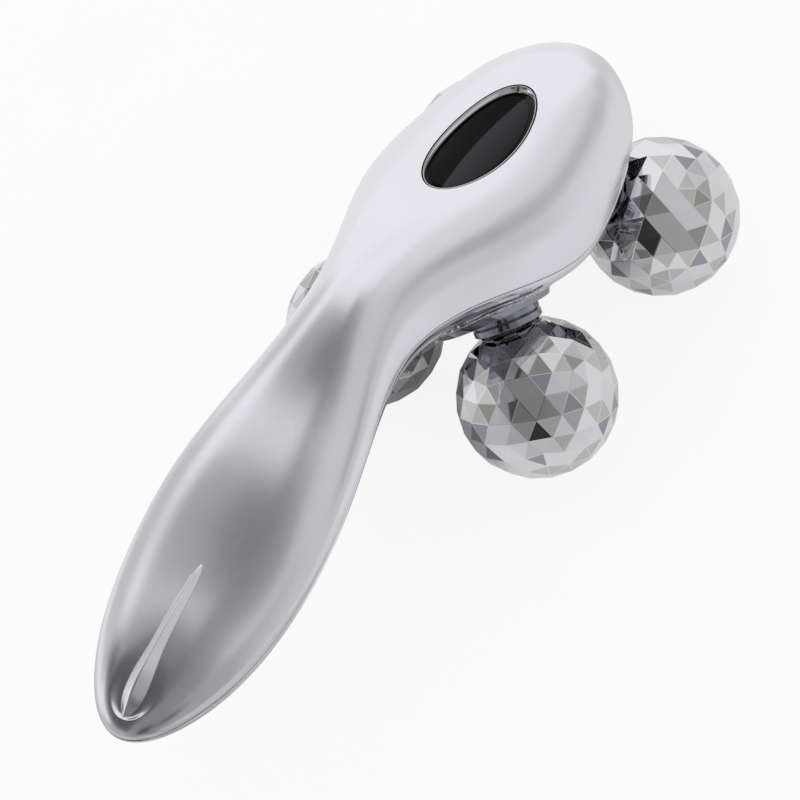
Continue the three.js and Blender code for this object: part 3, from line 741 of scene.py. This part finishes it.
def stations(fine):
    """Places of the sections: close together at both ends and, if fine, in the scoop."""
    places = [TAIL_START]
    while places[-1] < HEAD_END - 0.001:
        x = places[-1]
        step = SECTION_STEP
        if fine and x < LANCE_REGION:
            step = LANCE_STEP
        if fine and FOOT_REGION[0] < x < FOOT_REGION[1]:
            step = FOOT_STEP
        end = min(x, BODY_LENGTH - x)
        places.append(x + min(step, END_STEP + END_GROWTH * math.sqrt(end)))
    places[-1] = HEAD_END
    return np.array(places)


def angle_at(x, y):
    """The section's angle where its skin stands at y."""
    share = np.clip(y / half_width(x), 0, 0.999)
    angle = np.arccos(share)
    for _ in range(ANGLE_STEPS):
        angle = np.arccos(np.clip(share / bulge(angle), 0, 1))
    return angle


def upper_angles(x):
    """Angles of one section's points from the seam to the crown, following the lance's edge
    and the scoop's rim."""
    along = np.clip(x, RIM_PLACE, SCOOP_START + SCOOP_LENGTH / 2)
    share = 2 * (along - SCOOP_START) / SCOOP_LENGTH - 1
    rim = SCOOP_WIDTH / 2 * math.sqrt(1 - share**2) / half_width(along) * half_width(x)
    beside = np.clip(x, EDGE_PLACE, EDGE_LAST_SHARE * LANCE_TIP)
    edge = lance_edge(beside) / half_width(beside) * half_width(x)
    at_rim, at_edge = angle_at(x, rim), angle_at(x, edge)
    flank = np.linspace(0, at_rim, FLANK_POINTS)
    lobe = np.linspace(at_rim, at_edge, LOBE_POINTS)[1:]
    lance = np.linspace(at_edge, math.pi / 2, LANCE_POINTS)[1:]
    return np.concatenate([flank, lobe, lance])


def upper_ring(x):
    right = upper_angles(x)
    angles = np.concatenate([right, math.pi - right[-2::-1]])
    full = bulge(angles)
    y = half_width(x) * full * np.cos(angles)
    z = seam(x) + crown(x) * full * np.sin(angles)
    z = z - scoop_sink(np.full_like(y, x), y)
    return shell_ring(x, y, z, crown, 1)


def shell_ring(x, y, z, height_of, way):
    """A section of a shell: its skin between two rounded lips at the seam, and the arch of
    its hollow. Way is 1 for the shell above the seam and -1 for the one below."""
    base = float(seam(x)) + way * SEAT_GAP / 2
    curl = min(SEAM_ROUND, LIP_SHARE * float(height_of(x)))
    z = np.maximum(z, base + curl) if way > 0 else np.minimum(z, base - curl)
    width = float(half_width(x))
    lip = [(width - curl, base), (width - LIP_BEVEL * curl, base + way * LIP_BEVEL * curl)]
    other_lip = [(-across, up) for across, up in reversed(lip)]
    inner_width, inner_height = hollow_size(x, height_of)
    arch = np.linspace(0, math.pi, HOLLOW_POINTS)
    hollow = zip(-inner_width * np.cos(arch), base + way * inner_height * np.sin(arch))
    return np.array([(x, across, up) for across, up in (*lip, *zip(y, z), *other_lip, *hollow)])


def hollow_size(x, height_of):
    """Half width and height of a shell's hollow: a wall's thickness inside the skin."""
    width = float(half_width(x))
    if not CAVITY_START < x < CAVITY_END:
        return max(width - WALL, SOLID_SHARE * width), 0
    slope = float(half_width(x + 0.5) - half_width(x - 0.5))
    rise = float(height_of(x + 0.5) - height_of(x - 0.5))
    return (width - WALL * math.hypot(1, slope),
            max(float(height_of(x)) - WALL * math.hypot(1, rise), LEAST_HOLLOW))


def window_frame():
    """The window's frame: its origin lies on the crown and its +Z is square to it."""
    x = WINDOW_SHARE * BODY_LENGTH
    half = WINDOW_LENGTH / 2
    ends = [float(seam(x + s * half) + crown(x + s * half)) for s in (1, -1)]
    slope = (ends[0] - ends[1]) / WINDOW_LENGTH
    centre = Vector((x, 0, float(seam(x) + crown(x))))
    return Matrix.Translation(centre) @ Matrix.Rotation(-math.atan(slope), 4, "Y")


WINDOW_FRAME = window_frame()


def add_upper_shell():
    rings = [upper_ring(x) for x in stations(True)]
    points, faces = looped(rings)
    shell = object_of("upper_casing", points, faces)
    opening = oval_rod("opening", WINDOW_LENGTH, WINDOW_WIDTH, -3 * OVERRUN, OVERRUN,
                       WINDOW_FRAME)
    cut(shell, opening)
    shade_by_field(shell, upper_field)
    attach(shell, "handle")
    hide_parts("upper_shell")
    shell.data.materials.append(plating())


def lower_rings():
    """Sections of the lower skin: rays from the seam's middle, run out to the field's skin."""
    places = stations(False)
    before, after = LEG_MARGINS
    places = refine(places, leg_point(LEGS[0], LEG_END).x - before, FRONT_ROLLER + after)
    angles = np.linspace(0, -math.pi, BELLY_POINTS)
    x = np.repeat(places[:, None], len(angles), 1)
    full = bulge(angles)[None, :]
    y = half_width(x) * full * np.cos(angles)
    drop = belly(x) * full * np.sin(angles)
    reach = np.hypot(y, drop)
    low, high = np.full_like(x, BELLY_FIRST_SHARE), BELLY_REACH / reach
    for _ in range(SEARCH_STEPS):
        middle = (low + high) / 2
        inside = lower_field(x, y * middle, seam(x) + drop * middle) < 0
        low = np.where(inside, middle, low)
        high = np.where(inside, high, middle)
    middle = (low + high) / 2
    return places, x, y * middle, seam(x) + drop * middle


def refine(places, start, end):
    """Halves the steps that lie between start and end."""
    made = [places[0]]
    for a, b in zip(places[:-1], places[1:]):
        if start < b and a < end:
            made.append((a + b) / 2)
        made.append(b)
    return np.array(made)


def rim_profile():
    """Section of the thin flared rim round a leg's end."""
    out, base = LEG_END_DIAMETER / 2, LEG_END - RIM_THICKNESS
    inside = out - RIM_FLARE - WALL
    points = [(inside, base), (out - RIM_EDGE, base), (out, LEG_END + RIM_EDGE)]
    for share in RIM_TURN_SHARES:
        points.append((out - RIM_FLARE * math.sin(math.pi / 2 * share),
                       LEG_END + 2 * RIM_EDGE + RIM_RISE * (1 - math.cos(math.pi / 2 * share))))
    points.append((inside, LEG_END + 2 * RIM_EDGE + RIM_RISE))
    return points


def leg_face_profile():
    """Section of what levels a leg's end and sinks a dish round the seat of its collar."""
    out, seat = LEG_END_DIAMETER / 2, COLLAR_RADIUS - SEAT_INSET
    return [(AXIS_HOLE, 0), (LEG_END_DIAMETER, 0), (LEG_END_DIAMETER, LEG_END),
            (out - DISH_RIM, LEG_END), (out - DISH_FOOT, LEG_END + DISH_DEPTH),
            (seat, LEG_END + DISH_DEPTH), (seat, LEG_END), (AXIS_HOLE, LEG_END)]


def add_lower_shell():
    places, x, y, z = lower_rings()
    rings = [shell_ring(float(p), y[i], z[i], belly, -1) for i, p in enumerate(places)]
    points, faces = looped(rings)
    shell = object_of("lower_casing", points, faces)
    for leg in LEGS:
        matrix = leg_frame(leg)
        cut(shell, turned("leg_rim", rim_profile(), matrix), "UNION")
        cut(shell, turned("leg_face", leg_face_profile(), matrix))
        cut(shell, rod("leg_bore", AXLE_DIAMETER / 2 + SEAT_GAP, 0, AXLE_ROOT, matrix))
    for x in case_screw_places():
        matrix = Matrix.Translation((x, 0, 0))
        cut(shell, rod("screw_sink", SCREW_SINK_RADIUS, 0, case_screw_seat(x), matrix))
    shade_by_field(shell, lower_field)
    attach(shell, "handle")
    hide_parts("lower_shell")
    # The darker plating on the legs is painted shade, for the shade under the body
    mark_leg_painted_shade(shell)
    shell.data.materials.append(casing_plating_with_painted_leg_shade())


def mark_leg_painted_shade(shell):
    """Writes how far each corner belongs to a leg, the mask of the painted shade on the legs: one
    on a fairing, falling to nothing.
    """
    x, y, z = drawn_vertices(shell.data)
    outside = np.min([fairing_field(fairing, x, y, z) for fairing in FAIRINGS], 0)
    share = eased(1 - (outside - RIM_FLARE) / LEG_SHADE_REACH)
    written = shell.data.attributes.new(LEG_PAINTED_SHADE_SHARE, "FLOAT", "POINT")
    written.data.foreach_set("value", share.astype(np.float32))


def node_middle(name):
    low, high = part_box(name)
    return drawn_from([(low + high) / 2])[0]


def case_screw_places():
    return [node_middle(f"case_screw_{place}")[0] for place in ("rear", "front")]


def case_screw_seat(x):
    return float(seam(x) - belly(x)) + WALL + SCREW_SEAT


# Window


def add_bezel():
    """The bezel: a thin lip level with the shell, and a funnel from it down to the lens."""
    length, width = WINDOW_LENGTH - 2 * SEAT_GAP, WINDOW_WIDTH - 2 * SEAT_GAP
    rings = []
    for angle in turns(OVAL_SIDES):
        top = lip_height(length, width, angle) - LIP_DROP
        profile = [(0, -BEZEL_FOOT), (0, top - BEZEL_LIP)]
        for k in range(1, ROUND_STEPS + 1):
            turn = math.pi * (1 - k / ROUND_STEPS)
            profile.append((-BEZEL_LIP / 2 * (1 + math.cos(turn)),
                            top - BEZEL_LIP + BEZEL_LIP * math.sin(turn)))
        profile += [(-BEZEL_LIP - LIP_STEP, top - BEZEL_LIP), (-BEZEL_WALL, top - FUNNEL_DEPTH),
                    (-BEZEL_WALL, -BEZEL_FOOT)]
        rings.append(np.array([
            WINDOW_FRAME @ oval_point(length / 2 + step, width / 2 + step, angle, height)
            for step, height in profile]))
    points, faces = looped(rings, closed=True)
    bezel = object_of("bezel_ring", points, faces)
    shade_smooth(bezel, 50)
    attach(bezel, "handle")
    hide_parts("window_bezel")
    bezel.data.materials.append(mirror_plating())


def lip_height(length, width, angle):
    """How high the crown stands over the window's plane, on an oval at an angle."""
    edge = WINDOW_FRAME @ oval_point(length / 2, width / 2, angle, 0)
    crest = Vector((edge.x, edge.y, crown_height(edge.x, edge.y)))
    return (WINDOW_FRAME.inverted() @ crest).z


def crown_height(x, y):
    angle = float(angle_at(x, abs(y)))
    return float(seam(x) + crown(x) * bulge(angle) * math.sin(angle))


def add_lens():
    """The dark lens: it follows the crown a little below it, with a step round its edge."""
    less = 2 * SEAT_GAP + 2 * BEZEL_WALL + LENS_GAP
    length, width = WINDOW_LENGTH - less, WINDOW_WIDTH - less
    angles = turns(OVAL_SIDES)
    falls = [lip_height(length, width, angle) for angle in angles]
    shares = [(share, 0) for share in np.linspace(*LENS_RING_SHARES, LENS_RINGS)]
    rings = []
    for share, step in (*shares, *LENS_EDGE):
        rings.append([(share, fall * share**2 - LENS_DROP - step) for fall in falls])
    rings.append([(1, -BEZEL_FOOT)] * OVAL_SIDES)
    placed = [np.array([
        WINDOW_FRAME @ oval_point(length / 2 * share, width / 2 * share, angle, height)
        for (share, height), angle in zip(ring, angles)]) for ring in rings]
    points, faces = looped(placed)
    lens = object_of("window_lens", points, faces)
    shade_smooth(lens, 60)
    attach(lens, "handle")
    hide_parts("solar_window")
    # The lens's lighter half is a painted reflection
    lens.data.materials.append(dark_glass_with_painted_reflection())


# Rollers


def rounded_facets(matrix):
    """The geodesic ball with a narrow flat along each edge between facets."""
    points, faces, strips, fans = [], [], {}, {}
    for facet in BALL_FACETS:
        corners = [BALL_CORNERS[i] for i in facet]
        centre = (corners[0] + corners[1] + corners[2]) / 3
        size = sum((corner - centre).length for corner in corners) / 3
        shrink = 1 - 2 * FACET_ROUND / size
        first = len(points)
        points += [centre + (corner - centre) * shrink for corner in corners]
        faces.append((first, first + 1, first + 2))
        for k in range(3):
            a, b = facet[k], facet[(k + 1) % 3]
            strips.setdefault(frozenset((a, b)), []).append((first + k, first + (k + 1) % 3))
            fans.setdefault(facet[k], []).append(first + k)
    for (a, b), (c, d) in strips.values():
        faces.append((b, a, d, c))
    for corner, around in fans.items():
        out = BALL_CORNERS[corner].normalized()
        side = out.orthogonal().normalized()
        other = out.cross(side)
        offsets = {i: points[i] - BALL_CORNERS[corner] for i in around}
        faces.append(tuple(sorted(around, key=lambda i: math.atan2(
            offsets[i].dot(other), offsets[i].dot(side)))))
    return [matrix @ p for p in points], faces


def shade_facets(piece):
    """Each facet is shaded flat, a little off true as on a cast ball, and the narrow strips
    between facets turn from one to the next."""
    shade_smooth(piece, 30)
    mesh = piece.data
    best = {}
    draw = np.random.default_rng(FACET_SEED)
    tilts = draw.normal(0, FACET_TILT, (len(mesh.polygons), 3))
    for face, tilt in zip(mesh.polygons, tilts):
        normal = (face.normal + Vector(tilt)).normalized()
        for vertex in face.vertices:
            if face.area > best.get(vertex, (0, None))[0]:
                best[vertex] = (face.area, normal)
    normals = [Vector(c.vector) for c in mesh.corner_normals]
    for face in mesh.polygons:
        for i in face.loop_indices:
            normal = best[mesh.loops[i].vertex_index][1]
            if normal.dot(face.normal) > FACET_LEAST_DOT:
                normals[i] = normal
    mesh.normals_split_custom_set(normals)


def paint_facet_reflections(piece, seed):
    """Gives the facets, at random, three tones of plating: painted reflections, as a cut ball
    flashes light and dark.
    """
    for make in (mirror_plating, grey_facet_painted_reflection, dark_facet_painted_reflection):
        piece.data.materials.append(make())
    draw = np.random.default_rng(seed)
    tones = draw.choice(3, len(piece.data.polygons), p=FACET_PAINTED_REFLECTION_SHARES)
    for face, tone in zip(piece.data.polygons, tones):
        face.material_index = int(tone) if face.area > FACET_AREA else 0


def add_ball(leg, seed):
    centre = Matrix.Translation(leg_point(leg, 0))
    points, faces = rounded_facets(centre)
    ball = object_of(f"faceted_ball_{leg['name']}", points, faces)
    matrix = leg_frame(leg)
    cut(ball, rod("pole", BALL_RADIUS, POLE_FLAT, BALL_RADIUS + OVERRUN, matrix))
    cut(ball, rod("bore", HUB_DIAMETER / 2 + SEAT_GAP, BALL_FLOOR - BALL_RADIUS,
                  BALL_RADIUS + OVERRUN, matrix))
    shade_facets(ball)
    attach(ball, f"roller_{leg['name']}")
    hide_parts(f"roller_ball_{leg['name']}")
    # The facets' grey and dark tones are painted reflections, given at random
    paint_facet_reflections(ball, seed)


def collar_corner(height, first):
    """A quarter round at the collar's rim, from a first angle."""
    turns = [first + math.pi / 2 * k / ROUND_STEPS for k in range(ROUND_STEPS + 1)]
    return [(COLLAR_RADIUS - COLLAR_EDGE + COLLAR_EDGE * math.cos(turn),
             height + COLLAR_EDGE * math.sin(turn)) for turn in turns]


def add_collar(leg):
    """The collar between leg and ball, with rounded edges and a groove round it."""
    bore = AXLE_DIAMETER / 2 + SEAT_GAP
    start, end = COLLAR_START, COLLAR_START + COLLAR_LENGTH
    middle = (start + end) / 2
    profile = [
        (bore, start),
        *collar_corner(start + COLLAR_EDGE, -math.pi / 2),
        (COLLAR_RADIUS, middle - COLLAR_GROOVE),
        (COLLAR_RADIUS - COLLAR_GROOVE, middle),
        (COLLAR_RADIUS, middle + COLLAR_GROOVE),
        *collar_corner(end - COLLAR_EDGE, 0),
        (bore, end),
    ]
    collar = turned(f"collar_ring_{leg['name']}", profile, leg_frame(leg))
    shade_smooth(collar, 40)
    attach(collar, "handle")
    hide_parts(f"leg_collar_{leg['name']}")
    # Its darker plating is painted shade, for the shade between leg and ball
    collar.data.materials.append(collar_painted_shade_plating())


# Materials


def shader(name):
    """A material, its nodes and links, and its Principled shader."""
    material = bpy.data.materials.new(name)
    material.use_nodes = True
    nodes, links = material.node_tree.nodes, material.node_tree.links
    surface = nodes["Principled BSDF"]
    return material, nodes, links, surface


def noise_node(nodes, links, scale, detail=3):
    """Noise in the object's own space, with so many grains to a metre."""
    place = nodes.new("ShaderNodeTexCoord")
    noise = nodes.new("ShaderNodeTexNoise")
    noise.inputs["Scale"].default_value = scale
    noise.inputs["Detail"].default_value = detail
    links.new(place.outputs["Object"], noise.inputs["Vector"])
    return noise.outputs["Fac"]


def ranged(nodes, links, source, start, end, low=0, high=1, soft=False):
    """A value that goes from low to high while its source goes from start to end."""
    node = nodes.new("ShaderNodeMapRange")
    node.interpolation_type = "SMOOTHSTEP" if soft else "LINEAR"
    limits = {"From Min": start, "From Max": end, "To Min": low, "To Max": high}
    for name, value in limits.items():
        node.inputs[name].default_value = value
    links.new(source, node.inputs["Value"])
    return node.outputs["Result"]


def spread(nodes, links, source, low, high):
    """A noise's value brought to a range."""
    return ranged(nodes, links, source, NOISE_LOW, NOISE_HIGH, low, high)


def feed(links, socket, value):
    """Gives a socket a plain value, or the value of another socket."""
    if isinstance(value, bpy.types.NodeSocket):
        links.new(value, socket)
    else:
        socket.default_value = value


def math_node(nodes, links, operation, *values):
    """One arithmetic step on sockets or plain numbers."""
    node = nodes.new("ShaderNodeMath")
    node.operation = operation
    for socket, value in zip(node.inputs, values):
        feed(links, socket, value)
    return node.outputs["Value"]


def mixed(nodes, links, share, first, second, kind="FLOAT"):
    """From a first number or colour to a second, by a share."""
    node = nodes.new("ShaderNodeMix")
    node.data_type = kind
    for name, value in (("Factor", share), ("A", first), ("B", second)):
        feed(links, node.inputs[name], value)
    return node.outputs["Result"]


def tinted(nodes, links, source, first, second):
    """A tint that goes from a first to a second as a noise does."""
    ramp = nodes.new("ShaderNodeValToRGB")
    ramp.color_ramp.elements[0].position = NOISE_LOW
    ramp.color_ramp.elements[1].position = NOISE_HIGH
    ramp.color_ramp.elements[0].color = (*first, 1)
    ramp.color_ramp.elements[1].color = (*second, 1)
    links.new(source, ramp.inputs["Fac"])
    return ramp.outputs["Color"]


def coat(nodes, links, surface, colour, noise, rough):
    """Gives a surface its colour, and a roughness that varies as a noise does."""
    links.new(colour, surface.inputs["Base Color"])
    links.new(spread(nodes, links, noise, *rough), surface.inputs["Roughness"])


def bumped(nodes, links, source, surface, strength, distance):
    bump = nodes.new("ShaderNodeBump")
    bump.inputs["Strength"].default_value = strength
    bump.inputs["Distance"].default_value = distance
    links.new(source, bump.inputs["Height"])
    links.new(bump.outputs["Normal"], surface.inputs["Normal"])


def metal(name, first, second, rough, grain, bump=0.0):
    """A metal whose tint and roughness vary softly, with a fine grain."""
    material, nodes, links, surface = shader(name)
    surface.inputs["Metallic"].default_value = 1
    broad = noise_node(nodes, links, BROAD_SCALE)
    fine = noise_node(nodes, links, grain, 6)
    coat(nodes, links, surface, tinted(nodes, links, broad, first, second), fine, rough)
    if bump:
        bumped(nodes, links, fine, surface, bump, METAL_GRAIN)
    return material


def matte(name, first, second, rough, grain, bump=0.1):
    material, nodes, links, surface = shader(name)
    fine = noise_node(nodes, links, grain, 5)
    coat(nodes, links, surface, tinted(nodes, links, fine, first, second), fine, rough)
    bumped(nodes, links, fine, surface, bump, MATTE_GRAIN)
    return material


made_materials = {}


def once(make):
    """A material is made the first time it is asked for."""
    def get():
        if make.__name__ not in made_materials:
            made_materials[make.__name__] = make()
        return made_materials[make.__name__]
    return get


@once
def plating():
    return metal("satin_chrome", (0.81, 0.80, 0.85), (0.84, 0.83, 0.88), (0.20, 0.24),
                 PLATING_SCALE)


@once
def casing_plating_with_painted_leg_shade():
    """Mirror chrome, darker on the legs than on the casing round them: painted shade, for the
    shade under the body.
    """
    material, nodes, links, surface = shader("mirror_casing_chrome_painted_leg_shade")
    surface.inputs["Metallic"].default_value = 1
    broad = noise_node(nodes, links, BROAD_SCALE)
    fine = noise_node(nodes, links, PLATING_SCALE, 6)
    legs = nodes.new("ShaderNodeAttribute")
    legs.attribute_name = LEG_PAINTED_SHADE_SHARE
    bright = tinted(nodes, links, broad, (0.78, 0.77, 0.82), (0.84, 0.83, 0.87))
    # The painted shade on the legs: a darker tint where the mask is one
    dark = tinted(nodes, links, broad, (0.25, 0.25, 0.29), (0.32, 0.32, 0.36))
    colour = mixed(nodes, links, legs.outputs["Fac"], bright, dark, "RGBA")
    coat(nodes, links, surface, colour, fine, (0.03, 0.06))
    return material


@once
def mirror_plating():
    return metal("mirror_chrome", (0.73, 0.73, 0.75), (0.80, 0.80, 0.82), (0.015, 0.035),
                 MIRROR_SCALE)


# Grey facets: a painted reflection
@once
def grey_facet_painted_reflection():
    return metal("grey_facet_chrome_painted_reflection", (0.50, 0.50, 0.48), (0.59, 0.59, 0.57), (0.015, 0.04),
                 MIRROR_SCALE)


# Dark facets: a painted reflection
@once
def dark_facet_painted_reflection():
    return metal("dark_facet_chrome_painted_reflection", (0.28, 0.29, 0.33), (0.37, 0.38, 0.42), (0.015, 0.04),
                 MIRROR_SCALE)


# The collars' darker plating: painted shade, for the shade between leg and ball
@once
def collar_painted_shade_plating():
    return metal("dark_chrome_painted_shade", (0.24, 0.24, 0.28), (0.32, 0.32, 0.36), (0.02, 0.05), MIRROR_SCALE)


@once
def dark_glass_with_painted_reflection():
    """The lens: black glass over a cell, whose one half is a shade lighter than the other by a
    painted reflection.
    """
    material, nodes, links, surface = shader("dark_window_painted_reflection")
    place = nodes.new("ShaderNodeTexCoord")
    parts = nodes.new("ShaderNodeSeparateXYZ")
    links.new(place.outputs["Object"], parts.inputs["Vector"])
    # Where the painted reflection lies: past an edge that bows along the lens, softly blurred, and
    # fading across it
    middle = place_in_frame([WINDOW_FRAME.translation])[0]
    from_middle = math_node(nodes, links, "SUBTRACT", parts.outputs["X"], float(middle[0]))
    bow = math_node(nodes, links, "MULTIPLY", from_middle, from_middle)
    bow = math_node(nodes, links, "MULTIPLY", bow, PAINTED_REFLECTION_BOW / METRES)
    offset = math_node(nodes, links, "SUBTRACT", math_node(
        nodes, links, "SUBTRACT", PAINTED_REFLECTION_EDGE * METRES, bow), parts.outputs["Y"])
    blur = PAINTED_REFLECTION_BLUR * METRES
    side = ranged(nodes, links, offset, -blur, blur, soft=True)
    fade = ranged(nodes, links, offset, 0, WINDOW_WIDTH / 2 * METRES, 1, PAINTED_REFLECTION_FADE)
    painted_reflection_share = math_node(nodes, links, "MULTIPLY", side, fade)
    cell = noise_node(nodes, links, 60, 2)
    black = tinted(nodes, links, cell, (0.001, 0.001, 0.001), (0.002, 0.002, 0.002))
    colour = mixed(nodes, links, painted_reflection_share, black, (0.042, 0.040, 0.044, 1), "RGBA")
    smear = noise_node(nodes, links, 220, 4)
    coat(nodes, links, surface, colour, smear, (0.03, 0.07))
    surface.inputs["Specular IOR Level"].default_value = 0.06
    return material


@once
def steel():
    return metal("turned_steel", (0.52, 0.52, 0.53), (0.60, 0.60, 0.61), (0.22, 0.38), 2600, 0.15)


@once
def brass():
    return metal("sintered_brass", (0.55, 0.38, 0.15), (0.64, 0.46, 0.2), (0.25, 0.45), 2200, 0.2)


@once
def casting():
    return metal("cast_alloy", (0.42, 0.43, 0.45), (0.52, 0.53, 0.55), (0.4, 0.6), 1800, 0.5)


@once
def polymer():
    return matte("moulded_polymer", (0.70, 0.69, 0.66), (0.78, 0.77, 0.74), (0.4, 0.6), 1500)


@once
def rubber():
    return matte("black_rubber", (0.012, 0.012, 0.013), (0.02, 0.02, 0.021), (0.7, 0.9), 1900)


@once
def light_cell():
    return matte("light_cell", (0.006, 0.008, 0.02), (0.012, 0.016, 0.04), (0.2, 0.4), 400)


@once
def red_lead():
    return matte("red_sleeve", (0.35, 0.02, 0.02), (0.42, 0.03, 0.03), (0.4, 0.6), 1500)


@once
def black_lead():
    return matte("black_sleeve", (0.012, 0.012, 0.012), (0.02, 0.02, 0.02), (0.4, 0.6), 1500)


# Each node that keeps its CAD shape, and its finish
NODE_FINISHES = (
    ("seam_seal", rubber),
    ("window_gasket", rubber),
    ("solar_cell", light_cell),
    ("cell_carrier", polymer),
    ("carrier_screw", steel),
    ("axle_chassis", casting),
    ("chassis_terminal", brass),
    ("chassis_screw", steel),
    ("case_screw", steel),
    ("handle_lead", red_lead),
    ("roller_lead", black_lead),
    ("handle_contact", brass),
    ("roller_hub", polymer),
    ("outer_bush", brass),
    ("inner_bush", brass),
    ("axle_", steel),
    ("clip_ring", steel),
    ("set_screw", steel),
)


def finish_nodes():
    for name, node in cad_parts.items():
        if node.hide_render:
            continue
        found = [make for start, make in NODE_FINISHES if name.startswith(start)]
        node.data.materials.clear()
        node.data.materials.append(found[0]())


# Stage


def soft_edge(nodes, links, angle, half, soft):
    """One where an angle is inside its half width, and falling softly to nothing outside."""
    size = math_node(nodes, links, "ABSOLUTE", angle)
    return ranged(nodes, links, size, math.radians(half + soft / 2),
                  math.radians(half - soft / 2), soft=True)


def panel_share(nodes, links, across_x, across_y, elevation, panel):
    """How much of a studio panel lies in a direction."""
    azimuth, height = math.radians(panel[0]), math.radians(panel[1])
    width, tall, soft = panel[2:5]
    cosine, sine = math.cos(azimuth), math.sin(azimuth)
    ahead = math_node(nodes, links, "ADD",
                      math_node(nodes, links, "MULTIPLY", across_x, cosine),
                      math_node(nodes, links, "MULTIPLY", across_y, sine))
    aside = math_node(nodes, links, "SUBTRACT",
                      math_node(nodes, links, "MULTIPLY", across_y, cosine),
                      math_node(nodes, links, "MULTIPLY", across_x, sine))
    turn = math_node(nodes, links, "ARCTAN2", aside, ahead)
    rise = math_node(nodes, links, "SUBTRACT", elevation, height)
    return math_node(nodes, links, "MULTIPLY",
                     soft_edge(nodes, links, turn, width / 2, soft),
                     soft_edge(nodes, links, rise, tall / 2, soft))


def studio_level(nodes, links, heading):
    """How bright the studio is in a direction."""
    unit = nodes.new("ShaderNodeVectorMath")
    unit.operation = "NORMALIZE"
    links.new(heading, unit.inputs[0])
    parts = nodes.new("ShaderNodeSeparateXYZ")
    links.new(unit.outputs["Vector"], parts.inputs["Vector"])
    x, y = parts.outputs["X"], parts.outputs["Y"]
    elevation = math_node(nodes, links, "ARCSINE", parts.outputs["Z"])
    level = STUDIO_LEVEL
    for panel in STUDIO_PANELS:
        share = panel_share(nodes, links, x, y, elevation, panel)
        level = mixed(nodes, links, share, level, panel[-1])
    return level


def add_floor():
    """The floor: white to the camera, and to the plating as bright as the studio there."""
    low, high = -FLOOR_REACH, FLOOR_REACH
    mesh = bpy.data.meshes.new("floor")
    mesh.from_pydata([(x, y, -FLOOR_DROP) for x, y in (
        (low, low), (high, low), (high, high), (low, high))], [], [(0, 1, 2, 3)])
    floor = bpy.data.objects.new("floor", mesh)
    bpy.context.scene.collection.objects.link(floor)
    material, nodes, links, surface = shader("pale_floor")
    grain = noise_node(nodes, links, 40, 2)
    links.new(tinted(nodes, links, grain, (0.88, 0.88, 0.89), (0.92, 0.92, 0.92)),
              surface.inputs["Base Color"])
    surface.inputs["Roughness"].default_value = 0.9
    surface.inputs["Specular IOR Level"].default_value = 0
    place = nodes.new("ShaderNodeTexCoord")
    heading = nodes.new("ShaderNodeVectorMath")
    heading.operation = "SUBTRACT"
    heading.inputs[1].default_value = (0, 0, STUDIO_HEIGHT)
    links.new(place.outputs["Object"], heading.inputs[0])
    path = nodes.new("ShaderNodeLightPath")
    level = studio_level(nodes, links, heading.outputs["Vector"])
    glow = nodes.new("ShaderNodeEmission")
    links.new(mixed(nodes, links, path.outputs["Is Camera Ray"], level, 1),
              glow.inputs["Strength"])
    mix = nodes.new("ShaderNodeMixShader")
    seen = math_node(nodes, links, "MULTIPLY", path.outputs["Is Camera Ray"], FLOOR_SEEN)
    mirrored = math_node(nodes, links, "MULTIPLY", path.outputs["Is Glossy Ray"],
                         FLOOR_REFLECTED)
    links.new(math_node(nodes, links, "ADD", seen, mirrored), mix.inputs["Fac"])
    links.new(surface.outputs[0], mix.inputs[1])
    links.new(glow.outputs[0], mix.inputs[2])
    links.new(mix.outputs[0], nodes["Material Output"].inputs["Surface"])
    floor.data.materials.append(material)


def add_world():
    """Surroundings: white to the camera, plain light to matt surfaces, the studio to mirrors."""
    world = bpy.data.worlds.new("studio")
    bpy.context.scene.world = world
    world.use_nodes = True
    nodes, links = world.node_tree.nodes, world.node_tree.links
    place = nodes.new("ShaderNodeTexCoord")
    level = studio_level(nodes, links, place.outputs["Generated"])
    path = nodes.new("ShaderNodeLightPath")
    reflected = mixed(nodes, links, path.outputs["Is Glossy Ray"], PLAIN_LEVEL, level)
    seen = mixed(nodes, links, path.outputs["Is Camera Ray"], reflected, 1)
    background = nodes["Background"]
    background.inputs["Color"].default_value = (1, 1, 1, 1)
    links.new(seen, background.inputs["Strength"])


def add_camera():
    azimuth, elevation, roll = (
        math.radians(a) for a in (CAMERA_AZIMUTH, CAMERA_ELEVATION, CAMERA_ROLL)
    )
    back = Vector((math.sin(azimuth) * math.cos(elevation),
                   -math.cos(azimuth) * math.cos(elevation), math.sin(elevation)))
    level = Vector((math.cos(azimuth), math.sin(azimuth), 0))
    right = level * math.cos(roll) + back.cross(level) * math.sin(roll)
    turn = Matrix((right, back.cross(right), back)).transposed()
    data = bpy.data.cameras.new("camera")
    data.lens = CAMERA_LENS
    data.sensor_width = CAMERA_SENSOR
    data.clip_end = CAMERA_CLIP
    camera = bpy.data.objects.new("camera", data)
    bpy.context.scene.collection.objects.link(camera)
    place = Vector(CAMERA_TARGET) + back * CAMERA_DISTANCE
    camera.matrix_world = Matrix.Translation(place) @ turn.to_4x4()
    bpy.context.scene.camera = camera


add_camera()
bpy.context.scene.view_settings.view_transform = "Standard"
add_world()
add_floor()
add_upper_shell()
add_lower_shell()
add_bezel()
add_lens()
for seed, leg in enumerate(LEGS):
    add_ball(leg, seed)
    add_collar(leg)
finish_nodes()
